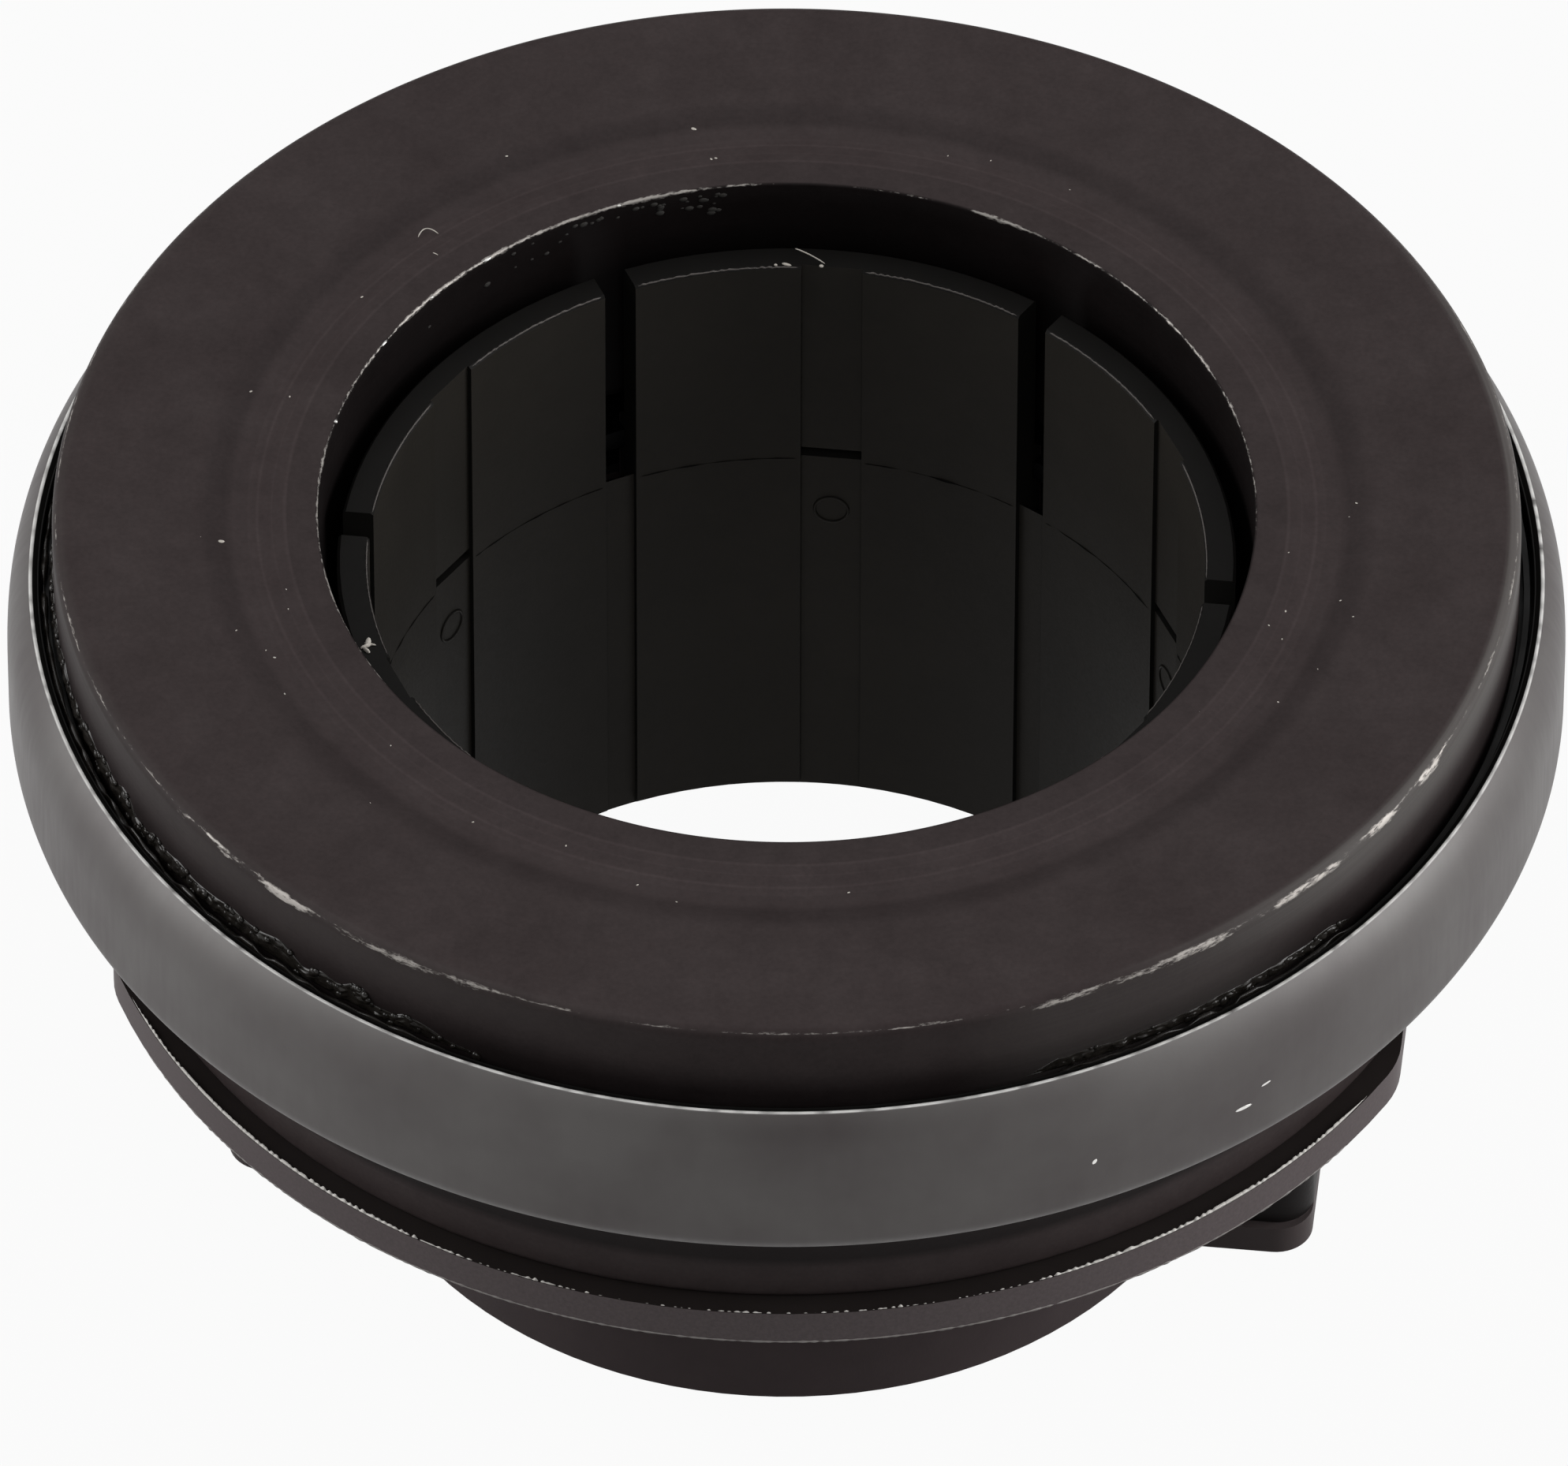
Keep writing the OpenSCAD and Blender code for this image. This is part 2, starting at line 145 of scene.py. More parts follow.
# Fibres on the face: radius, angle, heading, length and bend
FIBRES = ((22.3, 139, 20, 0.9, 0.5), (21.2, 141, 100, 0.6, -0.4), (20.6, 133, 60, 0.5, 0.5),
          (20.4, 160, 80, 0.5, 0.6), (28.1, 191, 30, 0.9, 0.2), (25.8, 345, 60, 0.5, 0.4))
# Burrs on the edge of the ring's bore: angle, length and width
BURRS = ((136.5, 0.5, 0.16), (156.0, 0.45, 0.12), (117.5, 0.16, 0.14), (171.0, 0.2, 0.16), (146.0, 0.2, 0.1))
# Caked spots on the wall of the ring's bore: how many, from which angle, and how far they spread
SPOT_COUNT, SPOT_FROM, SPOT_SPREAD = 40, 104, 16
# Bright nicks in the cover: angle, height, length, width and lean
NICKS = ((299.1, 26.7, 0.3, 0.2, 60), (311.5, 26.35, 0.85, 0.2, -3), (313.5, 27.1, 0.5, 0.13, 5))
NICK_DEEP = 0.02
# Flakes on the sleeve's rim: angle, radius, turn, and half their length, width and height
FLAKES = ((202.5, 18.15, 70, 0.3, 0.12, 0.06), (203.1, 18.3, 10, 0.28, 0.07, 0.1),
          (203.9, 18.35, 120, 0.2, 0.08, 0.12), (202.9, 18.1, 150, 0.26, 0.05, 0.05),
          (91.5, 17.62, 70, 0.1, 0.08, 0.06), (96.3, 17.65, 70, 0.22, 0.07, 0.06),
          (97.8, 17.62, 70, 0.08, 0.06, 0.05))

# Stage: the floor's half width in m, its drop below the part in mm and its share of plain white
FLOOR_HALF, FLOOR_DROP, FLOOR_WHITE = 3.0, 0.02, 0.95
SKY_LIGHT = 0.12
# Lamps, all equally far away, in m: angle round the part, tilt above the floor, size in m and power in W
LAMP_AWAY = 0.8
LAMPS = {"left_softbox": (180, 22, 0.6, 4.3), "right_softbox": (6, 22, 0.6, 5.7),
         "back_softbox": (96, 62, 0.6, 1.45), "front_softbox": (276, 50, 0.4, 1.25)}


def positions(node):
    """A CAD node's vertices, in mm, as rows of x, y, z."""
    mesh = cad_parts[node].data
    flat = np.empty(3 * len(mesh.vertices), np.float32)
    mesh.vertices.foreach_get("co", flat)
    return flat.reshape(-1, 3) / MM


def radii_at(node, z, slack=0.01):
    """Smallest and largest radius of a node's vertices at height z."""
    p = positions(node)
    r = np.hypot(p[:, 0], p[:, 1])[abs(p[:, 2] - z) < slack]
    return r.min(), r.max()


def heights_at(node, r, slack=0.01):
    """Lowest and highest z of a node's vertices at radius r."""
    p = positions(node)
    z = p[abs(np.hypot(p[:, 0], p[:, 1]) - r) < slack, 2]
    return z.min(), z.max()


def polar(r, angle, z):
    """Points at radius r, angle in degrees and height z, as rows of x, y, z."""
    a = np.radians(angle)
    return np.stack(np.broadcast_arrays(r * np.cos(a), r * np.sin(a), z), -1)


def waves(angle, lowest, highest, seed):
    """A seamless random line round the axis: cosines of whole wave counts with random sizes and starts."""
    draw = np.random.default_rng(seed)
    count = np.arange(lowest, highest + 1)
    size = draw.normal(size=len(count))
    start = draw.uniform(0, 2 * np.pi, len(count))
    total = (size * np.cos(np.radians(angle)[..., None] * count + start)).sum(-1)
    return total / np.sqrt((size ** 2).sum() / 2)


def within(angle, ranges, soft=6.0):
    """1 inside any of the angle ranges, falling to 0 over a soft border outside them."""
    total = np.zeros_like(angle)
    for low, high in ranges:
        off = np.maximum(abs((angle - (low + high) / 2 + 180) % 360 - 180) - (high - low) / 2, 0)
        total = np.maximum(total, np.clip(1 - off / soft, 0, 1))
    return total


def grid_faces(rows, cols, wrap_rows=True, wrap_cols=True):
    """Quads between neighbours on a grid of points, as rows of four indices."""
    i, j = np.meshgrid(np.arange(rows - (not wrap_rows)), np.arange(cols - (not wrap_cols)), indexing="ij")
    i1, j1 = (i + 1) % rows, (j + 1) % cols
    return np.stack([i * cols + j, i1 * cols + j, i1 * cols + j1, i * cols + j1], -1).reshape(-1, 4)


def many(count, rows, cols, wrap_rows, wrap_cols):
    """The quads of that many equal grids, one after the other."""
    one = grid_faces(rows, cols, wrap_rows, wrap_cols)
    return (one[None] + np.arange(count)[:, None, None] * rows * cols).reshape(-1, 4)


def divide(outline, step):
    """Splits the sides of a closed outline so that none is longer than step, and drops sides of no length."""
    side = np.roll(outline, -1, 0) - outline
    length = np.linalg.norm(side, axis=1)
    outline, side, length = outline[length > 1e-6], side[length > 1e-6], length[length > 1e-6]
    parts = np.ceil(length / step).astype(int)
    first = np.repeat(np.arange(len(outline)), parts)
    share = (np.arange(parts.sum()) - np.repeat(np.cumsum(parts) - parts, parts)) / np.repeat(parts, parts)
    return outline[first] + share[:, None] * side[first]


def make(name, points, faces, finish, body, values=None):
    """A smooth closed mesh from points in mm and quads. Points that meet, as at a pole, become one, and
    the faces are turned outwards. values are numbers per point."""
    points = points.reshape(-1, 3)
    a, b, c, d = (points[faces[:, k]] for k in range(4))
    if (np.cross(b, c) * a).sum() + (np.cross(c, d) * a).sum() < 0:
        faces = faces[:, ::-1]
    mesh = bpy.data.meshes.new(name)
    mesh.from_pydata((points * MM).tolist(), [], faces.tolist())
    mesh.polygons.foreach_set("use_smooth", np.ones(len(faces), bool))
    for key, numbers in (values or {}).items():
        attribute = mesh.attributes.new(key, "FLOAT", "POINT")
        attribute.data.foreach_set("value", numbers.astype(np.float32).ravel())
    shape = bmesh.new()
    shape.from_mesh(mesh)
    bmesh.ops.remove_doubles(shape, verts=shape.verts, dist=1e-4 * MM)
    shape.to_mesh(mesh)
    shape.free()
    return place(name, mesh, finish, body)


def place(name, mesh, finish, body):
    """Puts a mesh in the scene with its material, on its body."""
    mesh.materials.clear()
    mesh.materials.append(finish)
    piece = bpy.data.objects.new(name, mesh)
    bpy.context.scene.collection.objects.link(piece)
    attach(piece, body)
    return piece


def revolve(profile, angle):
    """Carries a profile of (r, z) rows round the axis: row i of the result lies at angle i."""
    return polar(profile[None, :, 0], angle[:, None], profile[None, :, 1])


def lumps(centres, out, along, sizes, rows=7, cols=10):
    """Small rounded lumps: spheres stretched to half sizes (along, across, out), one for each row."""
    across = np.cross(out, along)
    u = np.linspace(0, np.pi, rows)[:, None]
    v = np.arange(cols) * 2 * np.pi / cols
    ball = np.stack(np.broadcast_arrays(np.sin(u) * np.cos(v), np.sin(u) * np.sin(v), np.cos(u)), -1)
    axes = np.stack([along * sizes[:, :1], across * sizes[:, 1:2], out * sizes[:, 2:]], 1)
    points = centres[:, None, None] + np.einsum("rck,nkx->nrcx", ball, axes)
    return points, many(len(centres), rows, cols, False, True)


def tubes(paths, thick, sides=6):
    """Round threads along paths, as rows of points, that taper to nothing at both ends."""
    ahead = np.gradient(paths, axis=1)
    ahead /= np.linalg.norm(ahead, axis=2, keepdims=True)
    left = np.cross(ahead, [0, 0, 1.0])
    left /= np.linalg.norm(left, axis=2, keepdims=True)
    up = np.cross(left, ahead)
    s = np.arange(sides) * 2 * np.pi / sides
    share = np.linspace(-1, 1, paths.shape[1])
    taper = thick * np.sqrt(np.clip(1 - share ** 8, 0, 1))
    ring = left[:, :, None] * np.cos(s)[:, None] + up[:, :, None] * np.sin(s)[:, None]
    points = paths[:, :, None] + ring * taper[:, None, None]
    return points, many(len(paths), paths.shape[1], sides, False, True)


# Materials

def paint(code):
    """An sRGB hex colour as linear red, green, blue and alpha."""
    srgb = np.array([int(code[k:k + 2], 16) for k in (1, 3, 5)]) / 255
    linear = np.where(srgb <= 0.04045, srgb / 12.92, ((srgb + 0.055) / 1.055) ** 2.4)
    return (*linear.tolist(), 1.0)


def per(mm):
    """Texture scale at which one feature of a pattern is that many mm wide."""
    return 1 / (mm * MM)


def add(tree, kind, feeds=None, **settings):
    """Adds one node: settings are its properties, feeds its sockets' values or the sockets that drive
    them."""
    made = tree.nodes.new("ShaderNode" + kind)
    for name, value in settings.items():
        setattr(made, name, value)
    for socket, value in (feeds or {}).items():
        if isinstance(value, bpy.types.NodeSocket):
            tree.links.new(value, made.inputs[socket])
        else:
            made.inputs[socket].default_value = value
    return made


def blank(name, **constants):
    """A new material: itself, its node tree, its Principled shader with constants set, its Object
    coordinates."""
    material = bpy.data.materials.new(name)
    material.use_nodes = True
    tree = material.node_tree
    shader = tree.nodes["Principled BSDF"]
    for socket, value in constants.items():
        shader.inputs[socket.replace("_", " ")].default_value = value
    return material, tree, shader, add(tree, "TexCoord").outputs["Object"]


def drive(tree, shader, **sockets):
    """Links the shader's inputs to the sockets that drive them."""
    for name, socket in sockets.items():
        tree.links.new(socket, shader.inputs[name.replace("_", " ")])


def around(tree, where):
    """Coordinates that run round the axis, as arc length, radius and height with the seam at +Y, then the
    radius alone and the direction outwards."""
    split = add(tree, "SeparateXYZ", {"Vector": where})
    front = add(tree, "Math", {0: split.outputs["Y"], 1: -1.0}, operation="MULTIPLY")
    turn = add(tree, "Math", {0: split.outputs["X"], 1: front.outputs[0]}, operation="ARCTAN2")
    arc = add(tree, "Math", {0: turn.outputs[0], 1: PATTERN_R * MM}, operation="MULTIPLY")
    flat = add(tree, "CombineXYZ", {"X": split.outputs["X"], "Y": split.outputs["Y"]})
    radius = add(tree, "VectorMath", {0: flat.outputs[0]}, operation="LENGTH")
    rounds = add(tree, "CombineXYZ",
                 {"X": arc.outputs[0], "Y": radius.outputs["Value"], "Z": split.outputs["Z"]})
    outwards = add(tree, "VectorMath", {0: flat.outputs[0]}, operation="NORMALIZE")
    return rounds.outputs[0], radius.outputs["Value"], outwards.outputs[0]


def black_phosphate_steel():
    """Steel with a crystalline phosphate coat and oil: warm black and dull, mottled over some millimetres
    and dusted with fine grain, banded by radius where the face was turned, nearly black in the bore as
    painted shade, darker by height as painted shade under the cover, above the flange and above the cover's
    mouth, paler on the wall where it is smeared and as painted light on its left and right sides, and bright
    where the mesh says the coat is worn through."""
    material, tree, shader, where = blank("black_phosphate_steel", Specular_IOR_Level=0.07)
    rounds, radius, _ = around(tree, where)
    cloud = add(tree, "TexNoise", {"Vector": where, "Scale": per(5.0), "Detail": 7.0, "Roughness": 0.68})
    spread = add(tree, "MapRange", {"Value": cloud.outputs["Fac"], "From Min": 0.3, "From Max": 0.7})
    grain = add(tree, "TexNoise", {"Vector": where, "Scale": per(0.2), "Detail": 2.0})
    speckle = add(tree, "MapRange", {"Value": grain.outputs["Fac"], "From Min": 0.3, "From Max": 0.7,
                                     "To Min": 0.93, "To Max": 1.07})
    coat = add(tree, "MixRGB",
               {"Fac": spread.outputs[0], "Color1": paint("#3c3434"), "Color2": paint("#453d3d")})
    smudge = add(tree, "TexNoise", {"Vector": where, "Scale": per(1.3), "Detail": 5.0, "Roughness": 0.75})
    patches = add(tree, "MapRange", {"Value": smudge.outputs["Fac"], "From Min": 0.25, "From Max": 0.75,
                                     "To Min": 0.88, "To Max": 1.12})
    for share in (speckle, patches):
        coat = add(tree, "MixRGB", {"Fac": 1.0, "Color1": coat.outputs[0], "Color2": share.outputs[0]},
                   blend_type="MULTIPLY")
    height = add(tree, "SeparateXYZ", {"Vector": where}).outputs["Z"]
    # By radius: the turned face's bands and painted shade in the bore; by height: painted shade on the walls
    for value, tones in ((radius, TURNED_TONE_AND_BORE_SHADE), (height, WALL_SHADE)):
        low, high = tones[0][0], tones[-1][0]
        across = add(tree, "MapRange", {"Value": value, "From Min": low * MM, "From Max": high * MM})
        bands = add(tree, "ValToRGB", {"Fac": across.outputs[0]})
        stops = bands.color_ramp.elements
        for at, level in tones[1:-1]:
            stops.new((at - low) / (high - low)).color = (level, level, level, 1)
        for stop, level in ((stops[0], tones[0][1]), (stops[-1], tones[-1][1])):
            stop.color = (level, level, level, 1)
        coat = add(tree, "MixRGB", {"Fac": 1.0, "Color1": coat.outputs[0], "Color2": bands.outputs["Color"]},
                   blend_type="MULTIPLY")
    fine = add(tree, "Mapping", {"Vector": rounds, "Scale": (per(9.0), per(0.1), per(0.1))})
    streak = add(tree, "TexNoise", {"Vector": fine.outputs[0], "Scale": 1.0, "Detail": 3.0})
    patchy = add(tree, "MapRange",
                 {"Value": streak.outputs["Fac"], "From Min": 0.3, "From Max": 0.7, "To Min": 0.7})
    # Paler on the wall: a smear, and painted light on its right and left sides
    smear_and_light = add(tree, "Attribute", attribute_name="smear_and_light").outputs["Fac"]
    pale = add(tree, "Math", {0: smear_and_light, 1: patchy.outputs[0]}, operation="MULTIPLY")
    coat = add(tree, "MixRGB",
               {"Fac": pale.outputs[0], "Color1": coat.outputs[0], "Color2": paint("#63605e")})
    wear = add(tree, "Attribute", attribute_name="wear").outputs["Fac"]
    long = add(tree, "Mapping", {"Vector": rounds, "Scale": (per(0.45), per(0.11), per(0.11))})
    scuff = add(tree, "TexNoise", {"Vector": long.outputs[0], "Scale": 1.0, "Detail": 6.0, "Roughness": 0.7})
    rubbed = add(tree, "Math", {0: wear, 1: scuff.outputs["Fac"]}, operation="MULTIPLY")
    bare = add(tree, "MapRange", {"Value": rubbed.outputs[0], "From Min": 0.32, "From Max": 0.45}).outputs[0]
    tone = add(tree, "MixRGB", {"Fac": bare, "Color1": coat.outputs[0], "Color2": paint("#aca7a2")})
    metal = add(tree, "Math", {0: bare, 1: 0.6}, operation="MULTIPLY")
    gloss = add(tree, "MapRange", {"Value": streak.outputs["Fac"], "To Min": 0.4, "To Max": 0.6})
    relief = add(tree, "Bump", {"Height": grain.outputs["Fac"], "Strength": 0.3, "Distance": 0.012 * MM})
    drive(tree, shader, Base_Color=tone.outputs[0], Metallic=metal.outputs[0], Roughness=gloss.outputs[0],
          Normal=relief.outputs[0])
    return material


def drawn_steel_sheet():
    """Bare deep-drawn sheet under a film of oil: mid grey with a broad sheen, faintly cloudy and streaked
    along the draw, with a pale sheared edge, a scuffed fold and painted highlights where the mesh's cut
    attribute says so, and dark where the mesh says it is oiled."""
    material, tree, shader, where = blank("drawn_steel_sheet", Specular_IOR_Level=0.21)
    rounds, _, _ = around(tree, where)
    cloud = add(tree, "TexNoise", {"Vector": where, "Scale": per(8.0), "Detail": 4.0, "Roughness": 0.6})
    draw = add(tree, "Mapping", {"Vector": rounds, "Scale": (per(0.3), per(3.0), per(3.0))})
    streak = add(tree, "TexNoise", {"Vector": draw.outputs[0], "Scale": 1.0, "Detail": 3.0})
    grain = add(tree, "TexNoise", {"Vector": where, "Scale": per(0.22), "Detail": 3.0})
    blotch = add(tree, "MapRange", {"Value": cloud.outputs["Fac"], "From Min": 0.3, "From Max": 0.7})
    sheet = add(tree, "MixRGB",
                {"Fac": blotch.outputs[0], "Color1": paint("#524d4d"), "Color2": paint("#625f5e")})
    # cut: the sheared edge, the fold's scuffs and painted highlights on the fold and under the mouth
    cut = add(tree, "Attribute", attribute_name="cut").outputs["Fac"]
    oiled = add(tree, "Attribute", attribute_name="oiled").outputs["Fac"]
    sheet = add(tree, "MixRGB", {"Fac": oiled, "Color1": sheet.outputs[0], "Color2": paint("#151413")})
    tone = add(tree, "MixRGB", {"Fac": cut, "Color1": sheet.outputs[0], "Color2": paint("#f4f3f0")})
    metal = add(tree, "MapRange", {"Value": cut, "To Min": 0.2, "To Max": 0.1})
    gloss = add(tree, "MapRange", {"Value": streak.outputs["Fac"], "To Min": 0.38, "To Max": 0.54})
    relief = add(tree, "Bump", {"Height": grain.outputs["Fac"], "Strength": 0.25, "Distance": 0.012 * MM})
    drive(tree, shader, Base_Color=tone.outputs[0], Metallic=metal.outputs[0], Roughness=gloss.outputs[0],
          Normal=relief.outputs[0])
    return material


def moulded_plastic(name, dark, light, sheen):
    """Plastic from a mould: satin, with a fine fibre speckle and soft flow clouds."""
    material, tree, shader, where = blank(name, Specular_IOR_Level=sheen)
    cloud = add(tree, "TexNoise", {"Vector": where, "Scale": per(4.0), "Detail": 4.0, "Roughness": 0.6})
    speckle = add(tree, "TexNoise", {"Vector": where, "Scale": per(0.16), "Detail": 3.0, "Roughness": 0.7})
    tone = add(tree, "MixRGB", {"Fac": cloud.outputs["Fac"], "Color1": paint(dark), "Color2": paint(light)})
    gloss = add(tree, "MapRange", {"Value": speckle.outputs["Fac"], "To Min": 0.36, "To Max": 0.62})
    relief = add(tree, "Bump", {"Height": speckle.outputs["Fac"], "Strength": 0.35, "Distance": 0.014 * MM})
    drive(tree, shader, Base_Color=tone.outputs[0], Roughness=gloss.outputs[0], Normal=relief.outputs[0])
    return material


def sleeve_polyamide():
    """Black glass-filled polyamide: dull and nearly black, with a fine fibre speckle and soft flow
    clouds. The bore is darker than the outside, painted shade. Painted shade darkens the fingers' rim,
    the slots' walls, the flange's top and the lugs below the flange, and the lugs' feet are paler,
    painted light. The flange's rim is pale, scraped when the flash was trimmed."""
    material, tree, shader, where = blank("black_glass_filled_polyamide", Specular_IOR_Level=0.06)
    _, radius, outwards = around(tree, where)
    cloud = add(tree, "TexNoise", {"Vector": where, "Scale": per(4.0), "Detail": 5.0, "Roughness": 0.65})
    speckle = add(tree, "TexNoise", {"Vector": where, "Scale": per(0.16), "Detail": 3.0, "Roughness": 0.7})
    normal = add(tree, "TexCoord").outputs["Normal"]
    lie = add(tree, "SeparateXYZ", {"Vector": normal}).outputs["Z"]
    height = add(tree, "SeparateXYZ", {"Vector": where}).outputs["Z"]
    steep = add(tree, "Math", {0: lie}, operation="ABSOLUTE").outputs[0]
    facing = add(tree, "VectorMath", {0: normal, 1: outwards}, operation="DOT_PRODUCT").outputs["Value"]
    turned = add(tree, "Math", {0: facing}, operation="ABSOLUTE").outputs[0]
    outside = (radius, "GREATER_THAN", BORE_WALL_R * MM)
    lug = (radius, "GREATER_THAN", LUG_R * MM)
    rim = (radius, "GREATER_THAN", FLANGE_RIM_R * MM)
    finger = (radius, "LESS_THAN", FINGER_R * MM)
    foot = (height, "LESS_THAN", LIT_FOOT_Z * MM)
    below = (height, "LESS_THAN", FLANGE_Z * MM)
    ledge = (height, "GREATER_THAN", FLANGE_Z * MM)
    upright = (steep, "LESS_THAN", 0.6)
    level = (lie, "GREATER_THAN", 0.6)
    sideways = (turned, "LESS_THAN", 0.5)
    # Layers: the bore, darker than the outside as painted shade; the outside; painted shade on the fingers'
    # rim, the slots' walls and the lugs under the flange; painted light on the lugs' feet; painted shade on
    # the flange's top; the scraped rim
    layers = (((), "#22201d", "#302d29"),
              ((outside,), "#322b2c", "#453c3d"),
              ((finger, level), "#151413", "#1b1a19"),
              ((finger, upright, sideways), "#161513", "#1d1c1a"),
              ((lug, below), "#171515", "#201d1d"),
              ((lug, foot), "#3f3838", "#4c4545"),
              ((lug, ledge, level), "#221e1d", "#2f2a29"),
              ((rim, upright), "#4c4546", "#686061"))
    tone = None
    for limits, dark, light in layers:
        pattern = speckle if rim in limits else cloud
        layer = add(tree, "MixRGB",
                    {"Fac": pattern.outputs["Fac"], "Color1": paint(dark), "Color2": paint(light)})
        share = None
        for value, test, limit in limits:
            passed = add(tree, "Math", {0: value, 1: limit}, operation=test).outputs[0]
            if share is None:
                share = passed
            else:
                share = add(tree, "Math", {0: share, 1: passed}, operation="MULTIPLY").outputs[0]
        if tone is not None:
            layer = add(tree, "MixRGB", {"Fac": share, "Color1": tone, "Color2": layer.outputs[0]})
        tone = layer.outputs[0]
    gloss = add(tree, "MapRange", {"Value": speckle.outputs["Fac"], "To Min": 0.38, "To Max": 0.62})
    relief = add(tree, "Bump", {"Height": speckle.outputs["Fac"], "Strength": 0.35, "Distance": 0.014 * MM})
    drive(tree, shader, Base_Color=tone, Roughness=gloss.outputs[0], Normal=relief.outputs[0])
    return material


def soft_film(name, dark, light, dull, wet, scale):
    """A soft or greasy matter: one dark colour, dull and wet in patches of the given size."""
    material, tree, shader, where = blank(name)
    film = add(tree, "TexNoise", {"Vector": where, "Scale": per(scale), "Detail": 3.0})
    tone = add(tree, "MixRGB", {"Fac": film.outputs["Fac"], "Color1": paint(dark), "Color2": paint(light)})
    gloss = add(tree, "MapRange", {"Value": film.outputs["Fac"], "To Min": wet, "To Max": dull})
    drive(tree, shader, Base_Color=tone.outputs[0], Roughness=gloss.outputs[0])
    return material


def ground_steel(name, dark, light, low, high):
    """Ground, lapped or rolled steel: a metal with fine marks, drawn coarse enough to show."""
    material, tree, shader, where = blank(name, Metallic=1.0)
    marks = add(tree, "TexNoise", {"Vector": where, "Scale": per(0.3), "Detail": 4.0})
    tone = add(tree, "MixRGB", {"Fac": marks.outputs["Fac"], "Color1": paint(dark), "Color2": paint(light)})
    gloss = add(tree, "MapRange", {"Value": marks.outputs["Fac"], "To Min": low, "To Max": high})
    drive(tree, shader, Base_Color=tone.outputs[0], Roughness=gloss.outputs[0])
    return material


phosphate = black_phosphate_steel()
sheet_steel = drawn_steel_sheet()
sleeve_plastic = sleeve_polyamide()
# Flash torn off the flange's edge: stressed polyamide, whitened
torn_flash = moulded_plastic("torn_polyamide_flash", "#bdb9b4", "#f2efea", 0.4)
# Dirt in the line where the mould's cores met
seam_plastic = moulded_plastic("soiled_parting_line", "#0c0b0b", "#171615", 0.05)
# Thin flash left on the fingers' rim: whitened, and greyed as painted shade
shaded_flash = moulded_plastic("shaded_thin_polyamide_flash", "#45413f", "#6c6764", 0.3)
# Flash scraped off the flange's lower edge: a pale line, partly dry flash and partly a painted highlight
flash_and_highlight = moulded_plastic("pale_flash_and_highlight", "#6f6a69", "#a39e9b", 0.3)
cage_plastic = moulded_plastic("natural_cage_polyamide", "#4a3520", "#5e452b", 0.5)
washer_plastic = moulded_plastic("black_acetal", "#161616", "#1c1c1c", 0.2)
# Seal rubber, dull where it is dry and wet where grease touches it
rubber = soft_film("nitrile_rubber", "#100f0f", "#1b1a19", 0.8, 0.4, 1.5)
# Bearing grease that has picked up dirt: nearly black, wet
dirty_grease = soft_film("dirty_grease", "#0d0c0b", "#2b2723", 0.42, 0.14, 0.4)
# Dust caked in oil: dull and dark grey
caked_dust = soft_film("caked_dust", "#1b1a18", "#35322f", 0.9, 0.7, 0.3)
# Cotton dust: pale and matt
lint = soft_film("cotton_lint", "#a9a39b", "#d5cfc6", 0.95, 0.8, 0.3)
ball_steel = ground_steel("lapped_ball_steel", "#b4b4b6", "#c6c6c8", 0.08, 0.16)
race_steel = ground_steel("ground_race_steel", "#9c9c9e", "#b2b2b4", 0.2, 0.34)
spring_strip = ground_steel("oiled_spring_strip", "#0d0d0e", "#141415", 0.5, 0.65)
# Fresh nicks through the oil film: bright and rough
nick_steel = ground_steel("nicked_bright_steel", "#dcdad6", "#f6f5f2", 0.3, 0.5)

INNER_FINISH = {"outer_race": race_steel, "ball_cage": cage_plastic, "front_seal": rubber,
                "rear_seal": rubber, "slide_washer": washer_plastic, "wave_spring": spring_strip,
                "retaining_ring": spring_strip, "housing": phosphate}
for node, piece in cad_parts.items():
    piece.data.materials.clear()
    piece.data.materials.append(INNER_FINISH.get(node, ball_steel))


# Thrust ring

low, high = (np.array(corner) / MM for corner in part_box("thrust_ring"))
face_z, hub_z, ring_r = high[2], low[2], high[0]
ring_bore, hub_r = radii_at("thrust_ring", hub_z)
rim_z = heights_at("thrust_ring", ring_r)[0]
rim_in = radii_at("thrust_ring", rim_z)[0]
disc_z = heights_at("thrust_ring", rim_in)[1]
race_foot = heights_at("thrust_ring", hub_r)[1]
race_end = radii_at("thrust_ring", disc_z)[0]
mouth_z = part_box("cover")[1][2] / MM


def raceway():
    """The inner raceway: an arc of the groove's radius from the hub's shoulder to the underside of the
    disc."""
    start, end = np.array([hub_r, race_foot]), np.array([race_end, disc_z])
    half = (end - start) / 2
    reach = np.linalg.norm(half)
    normal = np.array([half[1], -half[0]]) / reach
    centre = start + half + normal * np.sqrt(RACE_R ** 2 - reach ** 2)
    a0, a1 = (np.arctan2(*(p - centre)[::-1]) % (2 * np.pi) for p in (start, end))
    a = np.linspace(a0, a1, 16)
    return centre + RACE_R * np.stack([np.cos(a), np.sin(a)], 1)


def bell(r, z, at_r, at_z, wide):
    """A bell over the profile, exp(-(distance / wide) squared): 1 at one point and 0 far from it."""
    return np.exp(-((r - at_r) ** 2 + (z - at_z) ** 2) / wide ** 2)


def face_height(r):
    """Height of the thrust face: flat, with a shallow sine-squared dip between two radii."""
    share = np.clip((DIP_OUT - r) / (DIP_OUT - DIP_IN), 0, 1)
    return face_z - DIP_DEPTH * np.sin(np.pi * share) ** 2


